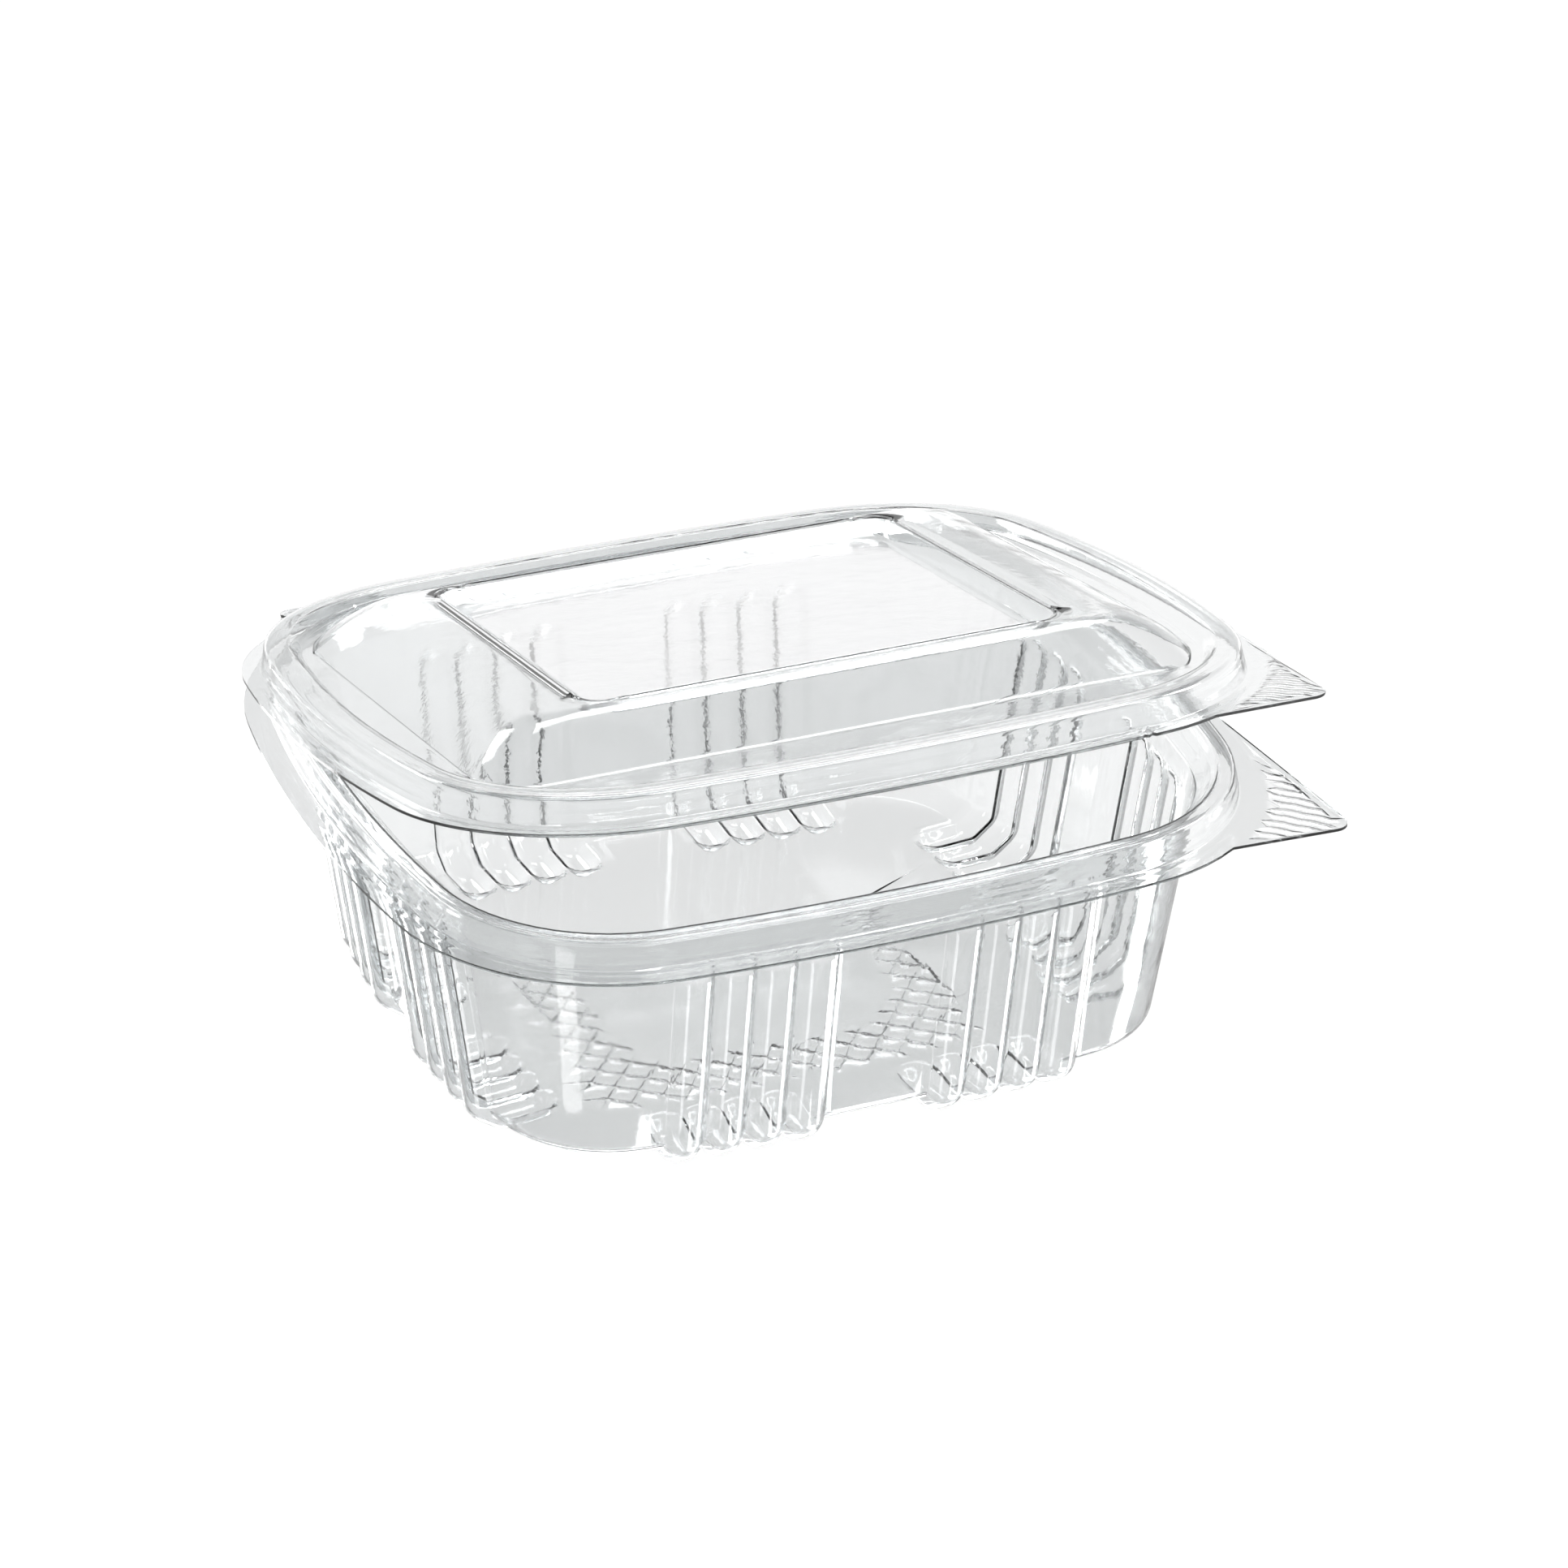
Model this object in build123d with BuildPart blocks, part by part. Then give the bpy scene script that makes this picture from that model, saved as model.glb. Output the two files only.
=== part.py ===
from build123d import *
from math import asin, atan2, cos, degrees, pi, radians, sin, tan
import os

os.makedirs("parts", exist_ok=True)

# Sheet and overall sizes in mm. X runs along the long side and the hinge is at +Y.
sheet = 0.45
length = 140.0
width = 128.0
tray_height = 41.0
long_side_bow = 5.5
short_side_bow = 9.0
corner_radius = 34.0

# Rim: a flat flange, a raised snap bead and a slope down into the well
flange_width = 4.0
bead_height = 4.2
bead_lean = 0.9
bead_top = 1.9
rim_slope_run = 3.0
rim_slope_drop = 3.4

# Wall of the well and the bevel at its foot
wall_draft = 8.0
bevel_drop = 2.6
bevel_run = 3.6
floor_margin = 2.0

# Ribs: two groups of four on each wall, each one a J with a few flats that ends as a foot below
# the floor. An odd number of flats gives each foot a flat sole. At its ends a rib leans into the
# well by rib_run_out degrees, until it is past the sheet by rib_end_overrun times its own depth.
rib_pitch = 6.4
rib_bulge = 2.3
rib_half_width = 2.9
rib_flats = 5
rib_run_out = 45.0
rib_end_overrun = 1.2
rib_top_drop = 4.5
toe_reach = 9.0
ribs_per_group = 4
long_wall_group = 21.3
short_wall_group = 19.0

# Lid rim: its bead closes over the bead of the tray
closed_gap = 0.3
bead_play = 0.35
slope_play = 0.4
channel_rise = 2.2
channel_margin = 1.5

# Lid dome with a sunk panel in its top
dome_length = 112.0
dome_width = 87.0
dome_height = 7.2
ridge_length = 84.0
ridge_width = 69.0
panel_length = 75.0
panel_width = 65.0
panel_depth = 2.6
panel_corner = 3.5

# Fold strips behind the rim
fold_reach = 2.0
fold_clearance = 0.3
fold_length = 104.0

# Corner tabs that are pulled apart to open the pack. Their points are counted from the front right
# corner of the rectangle that holds the rim.
tray_tab_tip = (1.6, 5.8)
tray_tab_back = (-0.6, 45.0)
tray_tab_front = (-16.0, 6.4)
lid_tab_tip = (-2.2, 3.6)
lid_tab_back = (-0.7, 40.0)
lid_tab_front = (-21.0, 2.4)
tab_tip_radius = 2.5

# The lid stands open by this angle, as it springs back when it isn't snapped shut
rest_opening = 10.0

# Levels, and the axis of the fold
flange_level = tray_height
lid_level = flange_level + sheet + closed_gap
floor_level = rib_bulge
fold_y = width / 2 + fold_reach
fold_z = flange_level + sheet + closed_gap / 2
fold_axis = Axis((0, fold_y, fold_z), (-1, 0, 0))


def bow_radius(half_chord, bow):
    """Radius of an arc that rises by bow over its half chord."""
    return (half_chord**2 + bow**2) / (2 * bow)


# The rim's outline has four bowed sides and four corner arcs. These are their radii and centres.
long_radius = bow_radius(length / 2, long_side_bow)
short_radius = bow_radius(width / 2, short_side_bow)
front_centre = Vector(0, long_radius - width / 2)
right_centre = Vector(length / 2 - short_radius, 0)


def tangent_corner_centre():
    """Centre of the front right corner arc, which runs smoothly into both bowed sides."""
    from_front = long_radius - corner_radius
    from_right = short_radius - corner_radius
    between = right_centre - front_centre
    along = (from_front**2 - from_right**2 + between.length**2) / (2 * between.length)
    aside = (from_front**2 - along**2) ** 0.5
    unit = between.normalized()
    normal = Vector(-unit.Y, unit.X)
    return front_centre + unit * along + normal * aside


corner_centre = tangent_corner_centre()
front_tangent = (corner_centre - front_centre).normalized()
right_tangent = (corner_centre - right_centre).normalized()
front_tangent_angle = degrees(atan2(front_tangent.Y, front_tangent.X))
right_tangent_angle = degrees(atan2(right_tangent.Y, right_tangent.X))


def in_quarter(point, x_sign, y_sign):
    """The same point of the outline in another quarter of the rim."""
    return Vector(point.X * x_sign, point.Y * y_sign)


def rim_face(inset, mode=Mode.ADD):
    """Fill the rim's outline, moved inwards by inset, in the sketch that is open."""
    front_end = front_centre + front_tangent * (long_radius - inset)
    right_end = right_centre + right_tangent * (short_radius - inset)
    corner_middle = corner_centre + (front_tangent + right_tangent).normalized() * (corner_radius - inset)
    front_middle = Vector(0, inset - width / 2)
    right_middle = Vector(length / 2 - inset, 0)
    with BuildLine() as outline:
        for sign in (1, -1):
            long_ends = [in_quarter(front_end, x_sign, sign) for x_sign in (-1, 1)]
            ThreePointArc(long_ends[0], in_quarter(front_middle, 1, sign), long_ends[1])
            short_ends = [in_quarter(right_end, sign, y_sign) for y_sign in (-1, 1)]
            ThreePointArc(short_ends[0], in_quarter(right_middle, sign, 1), short_ends[1])
            for x_sign in (1, -1):
                corner = [in_quarter(point, x_sign, sign) for point in (front_end, corner_middle, right_end)]
                ThreePointArc(*corner)
    make_face(outline.edges(), mode=mode)


def rim_arcs():
    """Each arc of the outline: its centre, radius, start angle and swept angle."""
    half_front = 90 + front_tangent_angle
    half_right = -right_tangent_angle
    turn = right_tangent_angle - front_tangent_angle
    return [
        (front_centre, long_radius, -90 - half_front, 2 * half_front),
        (in_quarter(front_centre, 1, -1), long_radius, 90 - half_front, 2 * half_front),
        (right_centre, short_radius, -half_right, 2 * half_right),
        (in_quarter(right_centre, -1, 1), short_radius, 180 - half_right, 2 * half_right),
        (corner_centre, corner_radius, front_tangent_angle, turn),
        (in_quarter(corner_centre, 1, -1), corner_radius, half_right, turn),
        (in_quarter(corner_centre, -1, -1), corner_radius, 90 + half_front, turn),
        (in_quarter(corner_centre, -1, 1), corner_radius, 180 + half_right, turn),
    ]


def section_plane(centre, radius, angle):
    """Plane across the rim at an angle round an arc: local X points inwards and local Y up."""
    outward = Vector(cos(radians(angle)), sin(radians(angle)))
    inward = outward * -1
    return Plane(origin=centre + outward * radius, x_dir=inward, z_dir=inward.cross(Vector(0, 0, 1)))


def upper_side(underside):
    """Points of the sheet's upper side, one sheet thickness to the left of its underside."""
    points = [Vector(*point) for point in underside]
    runs = [(end - start).normalized() for start, end in zip(points, points[1:])]
    normals = [Vector(-run.Y, run.X) for run in runs]
    before = [normals[0]] + normals
    after = normals + [normals[-1]]
    return [
        point + (first + second) * (sheet / (1 + first.dot(second)))
        for point, first, second in zip(points, before, after)
    ]


def sweep_section(underside):
    """Turn a sheet, given by the points of its underside from the rim inwards, round the outline."""
    outline = [Vector(*point) for point in underside] + upper_side(underside)[::-1]
    for centre, radius, start, swept in rim_arcs():
        with BuildSketch(section_plane(centre, radius, start)) as section:
            with BuildLine():
                Polyline(*outline, close=True)
            make_face()
        revolve(section.sketch, axis=Axis((centre.X, centre.Y, 0), (0, 0, 1)), revolution_arc=swept)


def fold_strip(level):
    """Add the flat strip between the back of a flange and the fold."""
    strip_end = fold_y - fold_clearance
    strip_start = width / 2 - long_side_bow
    with BuildSketch(Plane.XY.offset(level)) as strip:
        with Locations((0, (strip_start + strip_end) / 2)):
            Rectangle(fold_length, strip_end - strip_start)
        fillet(strip.vertices().group_by(Axis.Y)[-1], radius=fold_reach)
        rim_face(flange_width / 2, mode=Mode.SUBTRACT)
    extrude(strip.sketch, amount=sheet)


def corner_tab(level, *points):
    """Add the flat tab that squares off the front right corner of a flange."""
    corner = Vector(length / 2, -width / 2)
    with BuildSketch(Plane.XY.offset(level)) as tab:
        with BuildLine():
            Polyline(*[corner + Vector(*point) for point in points], corner_centre, close=True)
        make_face()
        fillet(tab.vertices().group_by(SortBy.DISTANCE)[-1], radius=tab_tip_radius)
        rim_face(flange_width / 2, mode=Mode.SUBTRACT)
    extrude(tab.sketch, amount=sheet)


# Underside of the tray's sheet across the rim, from the edge of the flange to the floor
bead_level = flange_level + bead_height
bead_start = flange_width + bead_lean
bead_end = bead_start + bead_top
wall_start = bead_end + rim_slope_run
wall_start_level = bead_level - rim_slope_drop
step_level = floor_level + bevel_drop
wall_end = wall_start + (wall_start_level - step_level) * tan(radians(wall_draft))
bevel_end = wall_end + bevel_run
tray_section = [
    (0, flange_level),
    (flange_width, flange_level),
    (bead_start, bead_level),
    (bead_end, bead_level),
    (wall_start, wall_start_level),
    (wall_end, step_level),
    (bevel_end, floor_level),
    (bevel_end + floor_margin, floor_level),
]

# The ribs follow the middle of the sheet down the wall, over the bevel and along the floor
mid_sheet = sheet / 2
rib_top_level = flange_level - rib_top_drop
rib_top_inset = wall_start + (wall_start_level - rib_top_level) * tan(radians(wall_draft)) + mid_sheet


def rib_route():
    """Points of a rib's route across the wall, run out at both ends into the well."""
    run_out = rib_end_overrun * (rib_bulge + mid_sheet)
    top_lean = radians(90 - wall_draft - rib_run_out)
    toe_lean = radians(rib_run_out)
    top = Vector(rib_top_inset, rib_top_level)
    toe = Vector(bevel_end + toe_reach, floor_level + mid_sheet)
    return [
        top + Vector(cos(top_lean), sin(top_lean)) * run_out,
        top,
        Vector(wall_end + mid_sheet, step_level + mid_sheet),
        Vector(bevel_end + mid_sheet, floor_level + mid_sheet),
        toe,
        toe + Vector(cos(toe_lean), sin(toe_lean)) * run_out,
    ]


def rib_sweep(skin, cavity_reach):
    """A rib's bulge, thinned by skin all round, which reaches into the well by cavity_reach."""
    half_width = rib_half_width - skin
    depth = rib_bulge + mid_sheet - skin
    radius = bow_radius(half_width, depth)
    half_angle = asin(half_width / radius)
    if depth > half_width:
        half_angle = pi - half_angle
    turns = [half_angle * (2 * index / rib_flats - 1) for index in range(rib_flats + 1)]
    rises = [radius * cos(turn) - radius + depth for turn in turns]
    crown = [(radius * sin(turn), -depth * rise / max(rises)) for turn, rise in zip(turns, rises)]
    with BuildPart() as bulge:
        with BuildLine() as route:
            Polyline(*rib_route())
        with BuildSketch(Plane(route.line @ 0, x_dir=(0, 0, -1), z_dir=route.line % 0)):
            with BuildLine():
                Polyline(*crown, (half_width, cavity_reach), (-half_width, cavity_reach), close=True)
            make_face()
        sweep(path=route.line, transition=Transition.RIGHT)
    return bulge.part


def rib_solid():
    """The outside of a rib, cut off along the middle of the sheet that it stands on."""
    points = rib_route()[1:-1]
    with BuildPart() as rib:
        add(rib_sweep(skin=0, cavity_reach=mid_sheet / 2))
        with BuildSketch(Plane.XY):
            with BuildLine():
                above_top = points[0] + (points[0] - points[1])
                past_toe = points[-1] + Vector(length, 0)
                below_sheet = [(past_toe.X, -length), (-length, -length), (-length, above_top.Y)]
                Polyline(above_top, *points[1:-1], past_toe, *below_sheet, close=True)
            make_face()
        extrude(amount=rib_pitch, both=True, mode=Mode.INTERSECT)
    return rib.part


def rib_places():
    """Where each rib stands: the plane across the wall at that point of the outline."""
    places = []
    steps = [(index - (ribs_per_group - 1) / 2) * rib_pitch for index in range(ribs_per_group)]
    for group_sign in (1, -1):
        for step in steps:
            along_long = group_sign * long_wall_group + step
            along_short = group_sign * short_wall_group + step
            long_angle = degrees(asin(along_long / long_radius))
            short_angle = degrees(asin(along_short / short_radius))
            places.append(section_plane(front_centre, long_radius, long_angle - 90))
            places.append(section_plane(in_quarter(front_centre, 1, -1), long_radius, long_angle + 90))
            places.append(section_plane(right_centre, short_radius, short_angle))
            places.append(section_plane(in_quarter(right_centre, -1, 1), short_radius, short_angle + 180))
    return places


# Tray: rim, wall and floor as one sheet with its ribs, fold strip and corner tab
rib_outside = rib_solid()
rib_inside = rib_sweep(skin=sheet, cavity_reach=2 * sheet)
with BuildPart() as tray:
    sweep_section(tray_section)
    with BuildSketch(Plane.XY.offset(floor_level)):
        rim_face(bevel_end + floor_margin / 2)
    extrude(amount=sheet)
    fold_strip(flange_level)
    corner_tab(flange_level, tray_tab_back, tray_tab_tip, tray_tab_front)
    add([rib_outside.located(place.location) for place in rib_places()])
    add([rib_inside.located(place.location) for place in rib_places()], mode=Mode.SUBTRACT)
tray.part.label = "tray"
export_step(tray.part, "parts/tray.step")

# Underside of the lid's sheet across the rim, which lies over the tray's with a clearance
lid_flange_width = flange_width - sheet - bead_play
lid_bead_level = lid_level + bead_height
lid_bead_end = bead_end + slope_play
channel_level = lid_level + channel_rise
channel_start = lid_bead_end + (lid_bead_level - channel_level) * rim_slope_run / rim_slope_drop
lid_section = [
    (0, lid_level),
    (lid_flange_width, lid_level),
    (lid_flange_width + bead_lean, lid_bead_level),
    (lid_bead_end, lid_bead_level),
    (channel_start, channel_level),
    (channel_start + channel_margin, channel_level),
]
dome_level = channel_level + dome_height


def loaf(skin, base_level, top_level):
    """The dome as a loaf with round ends and sloping long sides, held inside the channel."""
    base = (dome_length / 2 - skin, dome_width / 2 - skin)
    ridge = (ridge_length / 2 - skin, ridge_width / 2 - skin)
    with BuildPart() as dome:
        with BuildSketch(Plane.XZ):
            with BuildLine():
                Line((-base[0], base_level), (base[0], base_level))
                Line((-ridge[0], top_level), (ridge[0], top_level))
                TangentArc((ridge[0], top_level), (base[0], base_level), tangent=(1, 0))
                TangentArc((-ridge[0], top_level), (-base[0], base_level), tangent=(-1, 0))
            make_face()
        extrude(amount=base[1], both=True)
        with BuildSketch(Plane.YZ):
            with BuildLine():
                feet = [(base[1], base_level), (-base[1], base_level)]
                Polyline(*feet, (-ridge[1], top_level), (ridge[1], top_level), close=True)
            make_face()
        extrude(amount=base[0], both=True, mode=Mode.INTERSECT)
        with BuildSketch(Plane.XY.offset(base_level)):
            rim_face(channel_start + channel_margin / 2 + skin)
        extrude(amount=top_level - base_level, mode=Mode.INTERSECT)
    return dome.part


def panel_pocket(skin, top_level):
    """The space above the sunk panel, grown by skin on its sides and its floor."""
    with BuildPart() as pocket:
        with BuildSketch(Plane.XY.offset(dome_level - panel_depth - skin)):
            RectangleRounded(panel_length + 2 * skin, panel_width + 2 * skin, panel_corner + skin)
        extrude(amount=top_level - dome_level + panel_depth + skin)
    return pocket.part


# Lid: rim, channel and domed middle as one sheet, built shut
pocket_top_level = dome_level + dome_height
with BuildPart() as dome_outside:
    add(loaf(0, channel_level + mid_sheet, dome_level))
    add(panel_pocket(0, pocket_top_level), mode=Mode.SUBTRACT)
with BuildPart() as dome_inside:
    add(loaf(sheet, channel_level - sheet, dome_level - sheet))
    add(panel_pocket(sheet, pocket_top_level), mode=Mode.SUBTRACT)
with BuildPart() as shut_lid:
    sweep_section(lid_section)
    with BuildSketch(Plane.XY.offset(channel_level)):
        rim_face(channel_start + channel_margin / 2)
    extrude(amount=sheet)
    fold_strip(lid_level)
    corner_tab(lid_level, lid_tab_back, lid_tab_tip, lid_tab_front)
    add(dome_outside.part)
    add(dome_inside.part, mode=Mode.SUBTRACT)

# The lid where it comes to rest, turned open about the fold
with BuildPart() as lid:
    add(shut_lid.part.rotate(fold_axis, rest_opening))
lid.part.label = "lid"
export_step(lid.part, "parts/lid.step")
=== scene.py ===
"""Clear plastic clamshell pack: the visual tray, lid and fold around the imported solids."""

import logging
import math
from dataclasses import dataclass, field
from enum import Enum
from typing import Callable, Sequence

import bmesh
import bpy
from mathutils import Matrix, Vector
from mathutils.geometry import delaunay_2d_cdt


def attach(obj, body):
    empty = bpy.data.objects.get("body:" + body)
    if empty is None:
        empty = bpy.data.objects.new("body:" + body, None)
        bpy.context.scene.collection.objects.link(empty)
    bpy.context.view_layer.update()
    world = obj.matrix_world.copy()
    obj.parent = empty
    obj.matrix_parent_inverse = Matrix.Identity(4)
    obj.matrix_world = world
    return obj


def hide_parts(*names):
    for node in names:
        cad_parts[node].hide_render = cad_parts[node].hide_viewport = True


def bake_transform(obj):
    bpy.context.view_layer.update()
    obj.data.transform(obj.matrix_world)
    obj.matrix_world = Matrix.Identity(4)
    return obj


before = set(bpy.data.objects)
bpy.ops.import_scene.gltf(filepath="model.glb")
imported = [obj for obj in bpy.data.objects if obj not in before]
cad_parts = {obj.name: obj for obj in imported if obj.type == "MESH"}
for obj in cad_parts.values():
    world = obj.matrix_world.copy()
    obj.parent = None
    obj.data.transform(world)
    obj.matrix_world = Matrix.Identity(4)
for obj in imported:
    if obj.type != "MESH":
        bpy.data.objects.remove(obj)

LOG = logging.getLogger("clamshell_pack")
MM = 0.001
LEAST_LEAN = 0.6
SHARP_DEGREES = 55.0
Loop = list[int]


class Body(Enum):
    """The bodies that pieces ride on."""

    TRAY = "tray"
    LID = "lid"


class FinishPlace(Enum):
    """Places of the finishes among a piece's materials."""

    SHEET = 0
    # The cut edge's finish is dark grey: painted shade for the dark line at a sheet's edge.
    CUT_EDGE_PAINTED_SHADE = 1
    # The panel's finish is a paler copy of the clear sheet: painted light for the bright backdrop that the
    # panel mirrors.
    PANEL = 2


class Side(Enum):
    """What an arc of the rim is part of. A long side faces front or back."""

    LONG = "long"
    SHORT = "short"
    CORNER = "corner"


@dataclass(frozen=True)
class Arc:
    """One arc of the rim's outline, in mm and radians.

    Args:
        side: what the arc is part of.
        centre: centre of the arc in plan.
        radius: radius of the flange's edge.
        start: angle at which the arc starts.
        sweep: angle that the arc covers, counter-clockwise.
    """

    side: Side
    centre: Vector
    radius: float
    start: float
    sweep: float

    def place(self, angle: float, inset: float) -> Vector:
        """The plan point at an angle, moved inwards by an inset."""
        return self.centre + Vector((math.cos(angle), math.sin(angle))) * (self.radius - inset)


@dataclass(frozen=True)
class Station:
    """One line across the rim.

    Args:
        arc: the arc that the line crosses.
        angle: its angle on that arc.
        across: place across a rib, from -1 to 1, or None between ribs.
        notch: share of a full tooth that is cut into the flange's edge here.
    """

    arc: Arc
    angle: float
    across: float | None = None
    notch: float = 0.0

    def place(self, inset: float) -> Vector:
        """The plan point on this line at an inset."""
        return self.arc.place(self.angle, inset)


@dataclass(frozen=True)
class RimPlan:
    """The rim's outline in plan: four bowed sides joined by four corner arcs, in mm.

    Args:
        length: its length over the sides.
        width: its width from front to back.
        long_bow: how far the front and back bow out.
        short_bow: how far the sides bow out.
        corner_radius: radius of its corners.
    """

    length: float = 140.0
    width: float = 128.0
    long_bow: float = 5.5
    short_bow: float = 9.0
    corner_radius: float = 34.0

    @staticmethod
    def bow_radius(half_chord: float, bow: float) -> float:
        """Radius of an arc that rises by bow over half its chord."""
        return (half_chord**2 + bow**2) / (2 * bow)

    def arcs(self) -> list[Arc]:
        """The eight arcs, counter-clockwise from the front one, each tangent to the next."""
        long_radius = self.bow_radius(self.length / 2, self.long_bow)
        short_radius = self.bow_radius(self.width / 2, self.short_bow)
        front = Vector((0, long_radius - self.width / 2))
        right = Vector((self.length / 2 - short_radius, 0))
        reach_front = long_radius - self.corner_radius
        reach_right = short_radius - self.corner_radius
        between = right - front
        along = (reach_front**2 - reach_right**2 + between.length_squared) / (2 * between.length)
        aside = math.sqrt(reach_front**2 - along**2)
        unit = between.normalized()
        corner = front + unit * along + Vector((-unit.y, unit.x)) * aside
        half_long = math.pi / 2 + math.atan2(corner.y - front.y, corner.x - front.x)
        half_short = -math.atan2(corner.y - right.y, corner.x - right.x)
        turn = math.pi / 2 - half_long - half_short
        arcs = []
        for quarter in range(4):
            middle = (quarter - 1) * math.pi / 2
            is_long = quarter % 2 == 0
            reach = long_radius if is_long else short_radius
            half = half_long if is_long else half_short
            out = (self.width if is_long else self.length) / 2 - reach
            centre = Vector((math.cos(middle), math.sin(middle))) * out
            arcs.append(Arc(Side.LONG if is_long else Side.SHORT, centre, reach, middle - half, 2 * half))
            signs = (1 if quarter in (0, 1) else -1, 1 if quarter in (0, 3) else -1)
            corner_centre = Vector((corner.x * signs[0], corner.y * signs[1]))
            arcs.append(Arc(Side.CORNER, corner_centre, self.corner_radius, middle + half, turn))
        return arcs


@dataclass(frozen=True)
class Row:
    """One row of the sheet across the rim.

    Args:
        inset: its distance in from the rim's outline.
        level: its height over the ground.
        normal: the sheet's unit normal there, as inset and level.
        run: its distance along the sheet from the edge.
    """

    inset: float
    level: float
    normal: Vector
    run: float


@dataclass(frozen=True)
class Fluting:
    """Fine forming lines that run along the rim.

    Args:
        start: distance along the sheet, from the edge, at which they start.
        end: distance at which they end.
        pitch: distance from one line to the next.
        height: their height over the sheet.
    """

    start: float = 0.9
    end: float = 12.5
    pitch: float = 1.7
    height: float = 0.034

    def lift(self, run: float) -> float:
        """Height of the lines at a distance along the sheet."""
        if not self.start < run < self.end:
            return 0.0
        return self.height * math.sin(2 * math.pi * (run - self.start) / self.pitch)


@dataclass(frozen=True)
class SheetPath:
    """The middle of a sheet across the rim, given by its underside, with rounded bends.

    Args:
        underside: points (inset, level) of the sheet's underside from the edge inwards.
        radii: bend radius at each point between the two ends.
        shares: for each straight run, the shares of it at which a further row lies.
        sheet: thickness of the sheet.
        bend_steps: steps round each bend.
    """

    underside: Sequence[tuple[float, float]]
    radii: Sequence[float]
    shares: Sequence[Sequence[float]]
    sheet: float
    bend_steps: int = 4

    def middle(self) -> list[Vector]:
        """Corner points of the sheet's middle, half a sheet to the left of the underside."""
        points = [Vector(point) for point in self.underside]
        runs = [(end - start).normalized() for start, end in zip(points, points[1:])]
        normals = [Vector((-run.y, run.x)) for run in runs]
        before = [normals[0]] + normals
        after = normals + [normals[-1]]
        half = self.sheet / 2
        return [
            point + (one + two) * (half / (1 + one.dot(two)))
            for point, one, two in zip(points, before, after)
        ]

    def rows(self) -> list[Row]:
        """The rows from the edge inwards."""
        corners = self.middle()
        places: list[tuple[Vector, Vector]] = []
        start = corners[0]
        for index, shares in enumerate(self.shares):
            ahead = corners[index + 1] - corners[index]
            run = ahead.normalized()
            normal = Vector((-run.y, run.x))
            last = index == len(self.shares) - 1
            if last:
                end = corners[-1]
            else:
                following = (corners[index + 2] - corners[index + 1]).normalized()
                turn = math.atan2(run.x * following.y - run.y * following.x, run.dot(following))
                trim = self.radii[index] * math.tan(abs(turn) / 2)
                end = corners[index + 1] - run * trim
            for share in (0.0, *shares, 1.0):
                places.append((start.lerp(end, share), normal))
            if last:
                break
            side = normal * (self.radii[index] if turn > 0 else -self.radii[index])
            centre = end + side
            for step in range(1, self.bend_steps):
                turned = Matrix.Rotation(turn * step / self.bend_steps, 2)
                places.append((centre - turned @ side, turned @ normal))
            start = corners[index + 1] + following * trim
        rows = []
        run_length = 0.0
        for index, (place, normal) in enumerate(places):
            if index:
                run_length += (place - places[index - 1][0]).length
            rows.append(Row(place.x, place.y, normal, run_length))
        return rows


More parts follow.
